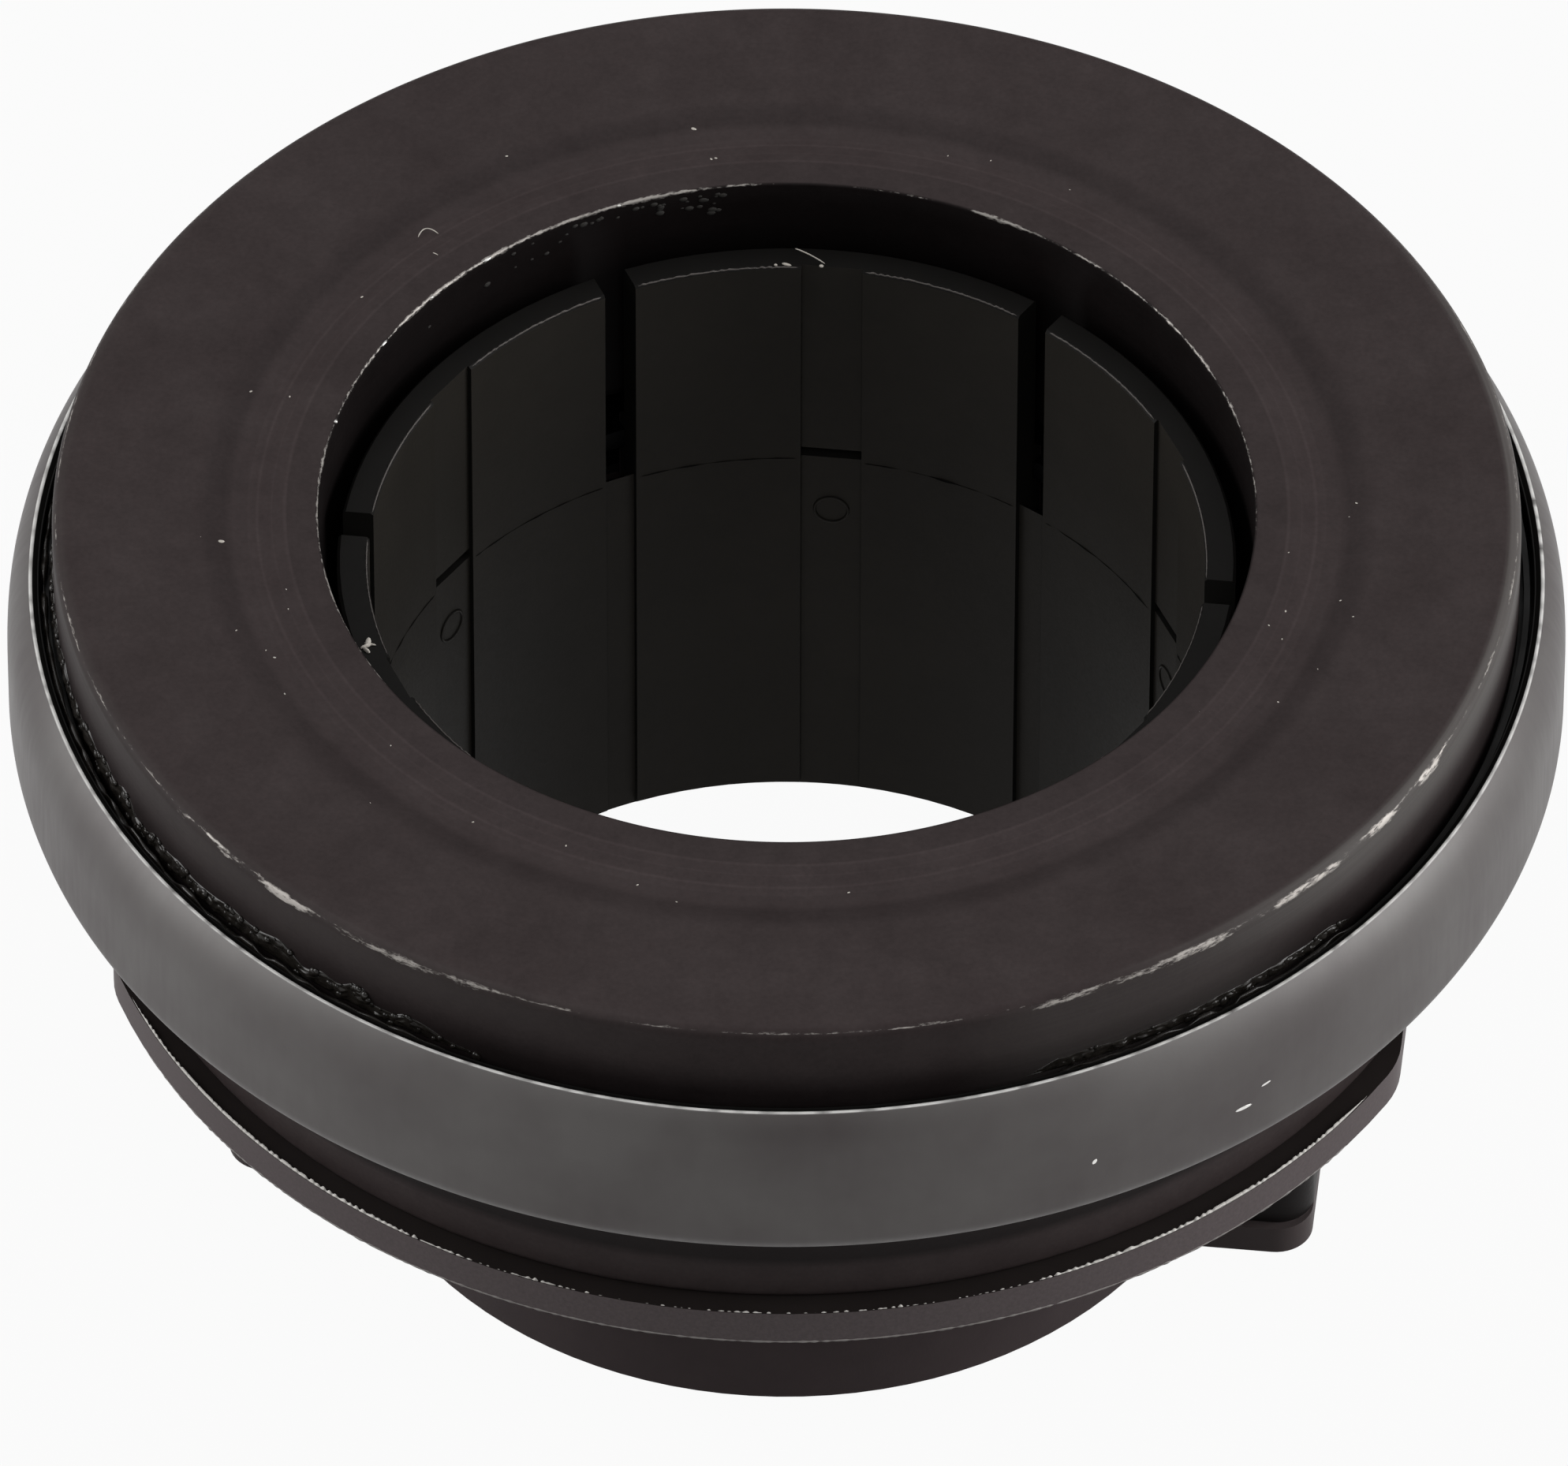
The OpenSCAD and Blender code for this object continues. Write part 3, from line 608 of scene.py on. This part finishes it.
def turned_ring():
    """The thrust ring: its profile goes out under the hub, along the raceway, down inside the rim, up its
    outer wall, round its edge and in over the dipped face, and is carried round the axis. Wear is set
    along the rim's rounding and the bore's edge; on the outer wall a pale smear, and painted light on its
    left and right sides."""
    angle = np.arange(TURN_STEPS) * 360 / TURN_STEPS
    inside = np.concatenate([[[ring_bore, hub_z], [hub_r, hub_z]], raceway(),
                             [[rim_in, disc_z], [rim_in, rim_z], [ring_r, rim_z]]])
    a = np.radians(np.linspace(0, 90, 9))
    rounding = np.stack([ring_r - RIM_ROUND * (1 - np.cos(a)), face_z - RIM_ROUND * (1 - np.sin(a))], 1)
    face_r = np.arange(ring_r - RIM_ROUND - FACE_STEP, ring_bore + EDGE_BREAK, -FACE_STEP)
    face = np.stack([face_r, face_height(face_r)], 1)
    edge = np.array([[ring_bore + EDGE_BREAK, face_z], [ring_bore + EDGE_BREAK / 3, face_z - EDGE_BREAK / 4],
                     [ring_bore, face_z - EDGE_BREAK]])
    profile = divide(np.concatenate([inside, rounding, face, edge]), PROFILE_STEP)
    r, z = profile.T
    on_edge, on_rim = (bell(r, z, ring_r - into, face_z - down, wide)
                       for into, down, wide in (EDGE_BELL, RIM_BELL))
    on_bore = bell(r, z, ring_bore, face_z, BORE_BELL_W)
    edge_worn = 0.8 + 0.1 * waves(angle, 10, 60, 2)
    rim_worn = within(angle, WORN_RIM) * (0.76 + 0.16 * waves(angle, 20, 60, 3))
    bore_worn = 0.48 + 0.5 * within(angle, WORN_BORE, 20) * (0.8 + 0.25 * waves(angle, 8, 50, 4))
    bore_worn += 0.25 * within(angle, BRIGHT_BORE, 10)
    wear = np.maximum(on_edge * edge_worn[:, None], on_rim * rim_worn[:, None])
    wear = np.maximum(wear, on_bore * bore_worn[:, None])
    on_wall = np.clip((r - ring_r + SKIN_DEEP) / SKIN_SOFT, 0, 1)
    on_wall = on_wall * np.clip((z - mouth_z - LIGHT_START) / LIGHT_RISE, 0, 1)
    # Painted light, paling the wall on its right and left sides
    side_light = np.maximum(RIGHT_LIGHT * within(angle, RIGHT_LIT_WALL, 25), LEFT_LIGHT * within(angle, LEFT_LIT_WALL, 20))
    smeared = (r > ring_r - SMEAR_DEEP) * SMEARED * within(angle, SMEARED_WALL, 8)[:, None]
    smear_and_light = np.maximum(on_wall * side_light[:, None], smeared)
    return make("turned_thrust_ring", revolve(profile, angle), grid_faces(len(angle), len(profile)),
                phosphate, "ring", {"wear": np.clip(wear, 0, 1), "smear_and_light": smear_and_light})


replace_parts(turned_ring(), "thrust_ring")


# Cover

low, high = (np.array(corner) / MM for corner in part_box("cover"))
cover_z, belly_r = low[2], high[0]
mouth_in, mouth_r = np.array(radii_at("cover", mouth_z)) + MOUTH_OUT
foot_r = radii_at("cover", cover_z)[0]
sheet_t = mouth_r - mouth_in
round_z, belly_z = heights_at("cover", belly_r)


def cover_r(z):
    """Outer radius of the cover above its belly: it rolls in to the mouth by a power of the height."""
    return belly_r - (belly_r - mouth_r) * np.clip((z - belly_z) / (mouth_z - belly_z), 0, 1) ** MOUTH_POWER


def drawn_cover():
    """The cover: a sheet of even thickness that turns up from its foot round a radius, rises straight to
    the belly and rolls in to the mouth. The outer part of its cut edge is marked as bright, with small
    breaks. Its fold is marked paler all round as a painted highlight, more where it is scuffed, the wall
    under its mouth paler on its left and right as a painted highlight, and its inside as oiled."""
    angle = np.arange(2 * TURN_STEPS) * 180 / TURN_STEPS
    bend = round_z - cover_z
    a = np.radians(np.linspace(-90, 0, 10))
    turn = np.stack([np.cos(a), np.sin(a)], 1)
    centre = np.array([belly_r - bend, round_z])
    z = np.append(np.linspace(belly_z, mouth_z - 3 * CUT_BREAK, 22), mouth_z - CUT_BREAK)
    wall = np.stack([cover_r(z), z], 1)
    edge = np.array([[mouth_r - CUT_BREAK, mouth_z], [mouth_r - CUT_W, mouth_z],
                     [mouth_r - CUT_W - CUT_BREAK, mouth_z - CUT_BREAK],
                     [mouth_in + 0.1, mouth_z - 0.1], [mouth_in, mouth_z - 0.25]])
    outline = np.concatenate([[[foot_r, cover_z]], centre + bend * turn, wall, edge,
                              wall[-2::-1] - [sheet_t, 0], (centre + (bend - sheet_t) * turn)[::-1],
                              [[foot_r, cover_z + sheet_t]]])
    profile = divide(outline, 2 * PROFILE_STEP)
    r, z = profile.T
    near = 0.005
    cut = (z > mouth_z - near) & (r > mouth_r - CUT_W - near)
    broken = np.clip(0.88 + 0.25 * waves(angle, 40, 240, 5), 0.15, 1)
    # A painted highlight all round the lower fold, more where the fold is scuffed
    fold_scuff_and_highlight = 0.15 + 0.22 * within(angle, SCUFFED_FOLD, 8) * np.clip(waves(angle, 30, 160, 6), 0, 2)
    fold = fold_scuff_and_highlight[:, None] * np.exp(-((z - cover_z - 0.3 * bend) / 0.12) ** 2) * (r > belly_r - 0.6 * bend)
    # A painted highlight on the wall under the mouth, on its left and right
    pale = HIGHLIGHT_PALE * within(angle, MOUTH_HIGHLIGHT, 30)[:, None] * np.exp(-(mouth_z - z) / HIGHLIGHT_FADE)
    pale = pale * (r > cover_r(z) - CUT_W)
    oiled = np.ones_like(angle)[:, None] * (r < cover_r(z) - CUT_W - 0.01) * (z > round_z)
    bright = np.maximum(cut * broken[:, None], fold + pale)
    return make("drawn_cover", revolve(profile, angle), grid_faces(len(angle), len(profile)), sheet_steel,
                "bearing", {"cut": bright, "oiled": oiled})


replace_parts(drawn_cover(), "cover")


def cover_nicks():
    """Bright nicks on the cover's barrel: flat lumps that lean against its wall."""
    angle, z, length, width, lean = np.array(NICKS).T
    out = polar(1, angle, 0 * z)
    side = polar(1, angle + 90, 0 * z)
    t = np.radians(lean)[:, None]
    along = side * np.cos(t) + np.array([0, 0, 1]) * np.sin(t)
    sizes = np.stack([length, width, 0 * z + NICK_DEEP], 1) / 2
    points, faces = lumps(polar(cover_r(z), angle, z), out, along, sizes)
    make("cover_nicks", points, faces, nick_steel, "bearing")


cover_nicks()


# Guide sleeve

flange_r, tube_top = np.array(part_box("guide_sleeve")[1])[1:] / MM
flange_foot, flange_top = heights_at("guide_sleeve", flange_r)
bore_r = radii_at("guide_sleeve", tube_top, 0.5)[0]


def moulded_sleeve():
    """The moulded sleeve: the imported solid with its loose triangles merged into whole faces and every
    sharp edge rounded, as a mould leaves it."""
    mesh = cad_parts["guide_sleeve"].data.copy()
    shape = bmesh.new()
    shape.from_mesh(mesh)
    bmesh.ops.remove_doubles(shape, verts=shape.verts, dist=SLEEVE_MERGE * MM)
    bmesh.ops.dissolve_limit(shape, angle_limit=np.radians(FLAT_WITHIN), verts=shape.verts,
                             edges=shape.edges)
    shape.to_mesh(mesh)
    shape.free()
    if "custom_normal" in mesh.attributes:
        mesh.attributes.remove(mesh.attributes["custom_normal"])
    mesh.polygons.foreach_set("use_smooth", np.ones(len(mesh.polygons), bool))
    piece = place("moulded_sleeve", mesh, sleeve_plastic, "sleeve")
    bevel = piece.modifiers.new("edges", "BEVEL")
    bevel.width = SLEEVE_EDGE * MM
    bevel.segments = 2
    bevel.limit_method = "ANGLE"
    bevel.angle_limit = np.radians(SHARP_OVER)
    bevel.loop_slide = False
    bevel.harden_normals = True
    return piece


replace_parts(moulded_sleeve(), "guide_sleeve")


def ribbon(name, arcs, steps, section, finish):
    """A thin strip on the sleeve along arcs of the given from and to angles. section(angle) gives its
    corners as rows of (r, z), and every strip shrinks to a point at its ends."""
    share = np.linspace(0, 1, steps)
    angle = arcs[:, :1] + (arcs[:, 1:] - arcs[:, :1]) * share
    corners = section(angle)
    middle = corners.mean(2, keepdims=True)
    taper = np.clip(30 * np.minimum(share, 1 - share), 0, 1)[:, None, None]
    corners = middle + (corners - middle) * taper
    points = polar(corners[..., 0], angle[..., None], corners[..., 1])
    make(name, points, many(len(arcs), steps, corners.shape[2], False, True), finish, "sleeve")


def strip_corners(angle, *pairs):
    """The corners of a strip's section at each angle, from pairs of radius and height."""
    rows = [np.stack([np.broadcast_to(value, angle.shape) for value in pair], -1) for pair in pairs]
    return np.stack(rows, 2)


def flange_flash(angle):
    """Torn flash on the flange's upper edge: a low ridge with random taller tatters, trimmed at the
    front."""
    trimmed = within(angle, TRIMMED_RIM, 30)
    tall = 0.08 + 0.035 * waves(angle, 200, 700, 11) + 0.03 * waves(angle, 12, 60, 12) - 0.09 * trimmed
    tall = np.clip(tall + 0.1 * within(angle, TORN_RIM, 8), -0.03, 0.2)
    r = flange_r - 0.03
    return strip_corners(angle, (r - 0.07, flange_top - 0.04), (r - 0.02, flange_top + tall),
                         (r + 0.025, flange_top - 0.06))


def flange_foot_line(angle):
    """A thin line of flash on the flange's lower edge."""
    size = 0.045 + 0.015 * waves(angle, 60, 500, 15)
    r = flange_r - 0.02
    middle = flange_foot + 0.04
    return strip_corners(angle, (r - 0.04, flange_foot + 0.02), (r + 0.03, middle - size),
                         (r + 0.03, middle + size))


def rim_flash(angle):
    """Thin flash on the inner edge of the fingers' rim."""
    tall = np.clip(0.01 + 0.025 * waves(angle, 40, 400, 21), -0.04, 0.05)
    r = bore_r + 0.05
    return strip_corners(angle, (r - 0.02, tube_top - 0.1), (r + 0.01, tube_top + tall),
                         (r + 0.06, tube_top - 0.04))


def parting_ridge(angle):
    """The line where the mould's two cores met: a low ridge round the bore."""
    swell = PARTING_SIZE * (0.7 + 0.3 * waves(angle, 20, 90, 31))
    root = bore_r + PARTING_SINK
    return strip_corners(angle, (root, PARTING_Z + swell), (bore_r - swell, PARTING_Z),
                         (root, PARTING_Z - swell))


pitch = 360 / FINGERS
lands = np.array([[SLOT_HALF, pitch / 2 - STRIP_HALF], [pitch / 2 + STRIP_HALF, pitch - SLOT_HALF]])
lands = (lands[None] + np.arange(FINGERS)[:, None, None] * pitch).reshape(-1, 2)
round_rim = np.array(ROUND_RIM)
ribbon("flange_flash", round_rim, 2400, flange_flash, torn_flash)
ribbon("flange_foot_flash", round_rim, 1500, flange_foot_line, flash_and_highlight)
ribbon("rim_flash", lands, 120, rim_flash, shaded_flash)
ribbon("parting_ridge", lands, 90, parting_ridge, seam_plastic)


def ejector_marks():
    """The marks of the ejector pins: a round ridge on the floor of each groove below a strip."""
    t = np.arange(MARK_STEPS)[:, None] * 2 * np.pi / MARK_STEPS
    s = np.arange(MARK_SIDES) * 2 * np.pi / MARK_SIDES
    ring = MARK_R + MARK_HALF_W * np.cos(s)
    depth = bore_r + STRIP_SINK - MARK_SUNK - MARK_TALL * np.sin(s)
    flat = np.stack(np.broadcast_arrays(depth, ring * np.cos(t), MARK_Z + ring * np.sin(t)), -1)
    turn = np.radians(pitch * (np.arange(FINGERS) + 0.5))
    c, n = np.cos(turn)[:, None, None], np.sin(turn)[:, None, None]
    x, y, z = flat[None, ..., 0], flat[None, ..., 1], flat[None, ..., 2]
    points = np.stack(np.broadcast_arrays(c * x - n * y, n * x + c * y, z), -1)
    make("ejector_marks", points, many(FINGERS, MARK_STEPS, MARK_SIDES, True, True), sleeve_plastic,
         "sleeve")


ejector_marks()


# Grease and dirt

def grease():
    """Grease flung out of the bearing. A coat sticks to the ring's wall: a strip from below the cover's
    mouth up to a ragged edge, whose thickness is a sum of random waves along and up, with round lumps on
    it. A bead lies in the mouth: an ellipse that swells and sinks. A gap stays between the two, because
    the ring turns."""
    draw = np.random.default_rng(17)
    low = mouth_z - COAT_FOOT
    share = np.linspace(0, 1, COAT_STEPS)
    taper = np.clip(12 * np.minimum(share, 1 - share), 0, 1)
    u = np.linspace(0, 1, COAT_ROWS)
    s = np.arange(BEAD_SIDES) * 2 * np.pi / BEAD_SIDES
    inner, outer = ring_r + BEAD_GAP, mouth_in - 0.02
    for k, (start, stop, climb, count) in enumerate(GREASE):
        angle = start + (stop - start) * share
        ragged = np.clip(0.62 + 0.3 * waves(angle, 12, 110, 60 + k), 0.1, 1.2)
        top = low + (COAT_FOOT + climb * ragged) * taper
        fields = [waves(angle[:, None] + 11 * u * turn, 40, 260, 70 + k + turn) for turn in (-1, 0, 1)]
        thick = np.clip(0.07 + 0.035 * sum(fields), 0.015, 0.18) * np.sin(np.pi * u) ** 0.8 * taper[:, None]
        z = low + (top - low)[:, None] * u
        skin = polar(ring_r + thick, angle[:, None], z)
        back = polar(ring_r - 0.03, angle[:, None], z[:, ::-1])
        make(f"grease_coat_{k + 1}", np.concatenate([skin, back], 1),
             grid_faces(COAT_STEPS, 2 * COAT_ROWS, False, True), dirty_grease, "ring")
        at = draw.uniform(start, stop, count)
        height = np.interp(at, angle, top) - draw.exponential(0.4, count)
        wide = draw.uniform(0.06, 0.2, count)
        sizes = np.stack([wide * draw.uniform(1.0, 1.5, count), wide,
                          wide * draw.uniform(0.4, 0.8, count)], 1)
        lean = np.radians(draw.normal(0, 30, count))[:, None]
        along = np.array([0, 0, 1.0]) * np.cos(lean) + polar(1, at + 90, 0 * at) * np.sin(lean)
        points, faces = lumps(polar(ring_r + 0.04, at, np.maximum(height, low)), polar(1, at, 0 * at),
                              along, sizes)
        make(f"grease_lumps_{k + 1}", points, faces, dirty_grease, "ring")
        wide = (outer - inner) / 2 * taper * np.clip(0.75 + 0.25 * waves(angle, 30, 160, 40 + k), 0.2, 1)
        tall = taper * np.clip(0.25 + 0.1 * waves(angle, 20, 120, 50 + k), 0.08, 0.4)
        r = (inner + outer) / 2 + wide[:, None] * np.cos(s)
        z = mouth_z - BEAD_DOWN + tall[:, None] * np.sin(s)
        make(f"grease_bead_{k + 1}", polar(r, angle[:, None], z),
             grid_faces(COAT_STEPS, BEAD_SIDES, False, True), dirty_grease, "bearing")


grease()


def bore_dirt():
    """Burrs on the edge of the ring's bore, as bright lumps along it, and caked dust spotted on its wall."""
    draw = np.random.default_rng(29)
    at, length, width = np.array(BURRS).T
    points, faces = lumps(polar(ring_bore + 0.03, at, face_z - 0.05), polar(-1, at, 0 * at),
                          polar(1, at + 90, 0 * at), np.stack([length, width, width], 1) / 2)
    points[..., 2] = np.minimum(points[..., 2], face_z - 0.005)
    make("bore_burrs", points, faces, nick_steel, "ring")
    at = SPOT_FROM + draw.exponential(SPOT_SPREAD, SPOT_COUNT)
    size = draw.uniform(0.04, 0.13, SPOT_COUNT)
    z = face_z - 0.4 - draw.exponential(0.5, SPOT_COUNT)
    points, faces = lumps(polar(ring_bore, at, z), polar(-1, at, 0 * at), polar(1, at + 90, 0 * at),
                          np.stack([size * 1.6, size, size * 0.5], 1))
    make("bore_spots", points, faces, caked_dust, "ring")


bore_dirt()


def face_dirt():
    """Dust on the thrust face: flat specks, the placed ones and a scatter of finer ones, and short bent
    fibres."""
    draw = np.random.default_rng(23)
    r, angle, size = np.array(SPECKS).T
    r = np.concatenate([r, np.sqrt(draw.uniform(DUST_IN ** 2, DUST_OUT ** 2, DUST_COUNT))])
    angle = np.concatenate([angle, draw.uniform(0, 360, DUST_COUNT)])
    size = np.concatenate([size, draw.uniform(0.025, 0.055, DUST_COUNT)])
    z = np.minimum(face_height(r), face_z - 0.3 * size)
    turn = np.radians(draw.uniform(0, 360, len(r)))
    along = np.stack([np.cos(turn), np.sin(turn), 0 * turn], 1)
    up = np.tile([0, 0, 1.0], (len(r), 1))
    points, faces = lumps(polar(r, angle, z), up, along, np.stack([size * 1.4, size * 0.8, size * 0.3], 1))
    make("face_dust", points, faces, lint, "ring")
    r, angle, heading, length, bend = np.array(FIBRES).T
    t = np.linspace(-0.5, 0.5, 24)
    h = np.radians(heading)[:, None]
    run, sway = length[:, None] * t, (bend * length)[:, None] * (1 - 4 * t ** 2)
    start = polar(r, angle, 0 * r)[:, None]
    way = np.stack([run * np.cos(h) - sway * np.sin(h), run * np.sin(h) + sway * np.cos(h), 0 * run], -1)
    points, faces = tubes(start + way + [0, 0, face_z - 0.04], thick=0.025)
    make("face_fibres", points, faces, lint, "ring")


face_dirt()


def rim_dirt():
    """Dirt on the sleeve: a torn flake on the rim at the left, tatters on the far rim, and a fibre that
    stands up."""
    table = np.array(FLAKES)
    at, r, turn = table[:, :3].T
    up = np.tile([0, 0, 1.0], (len(at), 1))
    points, faces = lumps(polar(r, at, tube_top + 0.04), up, polar(1, at + turn, 0 * at), table[:, 3:])
    make("rim_flakes", points, faces, lint, "sleeve")
    t = np.linspace(0, 1, 24)
    path = polar(17.75 + 0.2 * t, 91.0 + 4.2 * t, tube_top + 0.05 + 0.9 * t - 0.25 * t ** 2)
    points, faces = tubes(path[None], thick=0.03)
    make("rim_fibre", points, faces, lint, "sleeve")


rim_dirt()


# Floor, light and camera

def pale_floor():
    """Pale matt floor. What is seen of it, straight or in a reflection, is nearly white, with a share of
    its own shading so that the shadow stays."""
    material, tree, shader, _ = blank("pale_floor", Base_Color=paint("#8e8e8c"), Roughness=0.9)
    path = add(tree, "LightPath")
    seen = path.outputs["Is Camera Ray"]
    for ray in ("Is Glossy Ray", "Is Transmission Ray"):
        seen = add(tree, "Math", {0: seen, 1: path.outputs[ray]}, operation="MAXIMUM").outputs[0]
    share = add(tree, "Math", {0: seen, 1: FLOOR_WHITE}, operation="MULTIPLY")
    glow = add(tree, "Emission", {"Color": (1, 1, 1, 1), "Strength": 1.0})
    mix = add(tree, "MixShader", {0: share.outputs[0], 1: shader.outputs[0], 2: glow.outputs[0]})
    tree.links.new(mix.outputs[0], tree.nodes["Material Output"].inputs["Surface"])
    mesh = bpy.data.meshes.new("floor")
    corners = [(x * FLOOR_HALF, y * FLOOR_HALF, -FLOOR_DROP * MM)
               for x, y in ((-1, -1), (1, -1), (1, 1), (-1, 1))]
    mesh.from_pydata(corners, [], [(0, 1, 2, 3)])
    mesh.materials.append(material)
    floor = bpy.data.objects.new("floor", mesh)
    bpy.context.scene.collection.objects.link(floor)


pale_floor()

world = bpy.data.worlds.new("studio")
bpy.context.scene.world = world
world.use_nodes = True
sky = world.node_tree.nodes["Background"].inputs
sky["Color"].default_value = (1, 1, 1, 1)
sky["Strength"].default_value = SKY_LIGHT


def softbox(name, angle, tilt, size, power):
    """A square lamp that hangs at that angle round the part and tilt above the floor, and looks at it."""
    lamp = bpy.data.lights.new(name, "AREA")
    lamp.size = size
    lamp.energy = power
    holder = bpy.data.objects.new(name, lamp)
    bpy.context.scene.collection.objects.link(holder)
    a, t = np.radians((angle, tilt))
    way = Vector((np.cos(a) * np.cos(t), np.sin(a) * np.cos(t), np.sin(t)))
    holder.location = way * LAMP_AWAY
    holder.rotation_mode = "QUATERNION"
    holder.rotation_quaternion = way.to_track_quat("Z", "Y")


for lamp_name, numbers in LAMPS.items():
    softbox(lamp_name, *numbers)


def photo_camera():
    """The photograph's view: turned, tilted and rolled about the centre of the thrust face."""
    turn, tilt, roll = np.radians((VIEW_TURN, VIEW_TILT, VIEW_ROLL))
    right = np.array([np.cos(turn), np.sin(turn), 0])
    level = np.array([-np.sin(turn), np.cos(turn), 0])
    rise = np.array([0, 0, 1])
    up = np.sin(tilt) * level + np.cos(tilt) * rise
    ahead = np.cos(tilt) * level - np.sin(tilt) * rise
    spot = face_z * rise - VIEW_UNIT * (VIEW_SHIFT[0] * right + VIEW_SHIFT[1] * up + VIEW_AWAY * ahead)
    side = np.cos(roll) * right - np.sin(roll) * up
    top = np.sin(roll) * right + np.cos(roll) * up
    lens = bpy.data.cameras.new("camera")
    lens.sensor_width = SENSOR_W
    lens.sensor_fit = "HORIZONTAL"
    lens.lens = FOCAL_PX / IMAGE_W * SENSOR_W
    lens.clip_start, lens.clip_end = 0.01, 100
    camera = bpy.data.objects.new("camera", lens)
    bpy.context.scene.collection.objects.link(camera)
    camera.matrix_world = Matrix(np.block([[np.stack([side, top, -ahead], 1), spot[:, None] * MM],
                                           [np.zeros((1, 3)), np.ones((1, 1))]]).tolist())
    bpy.context.scene.camera = camera


photo_camera()
bpy.context.scene.view_settings.view_transform = "Standard"
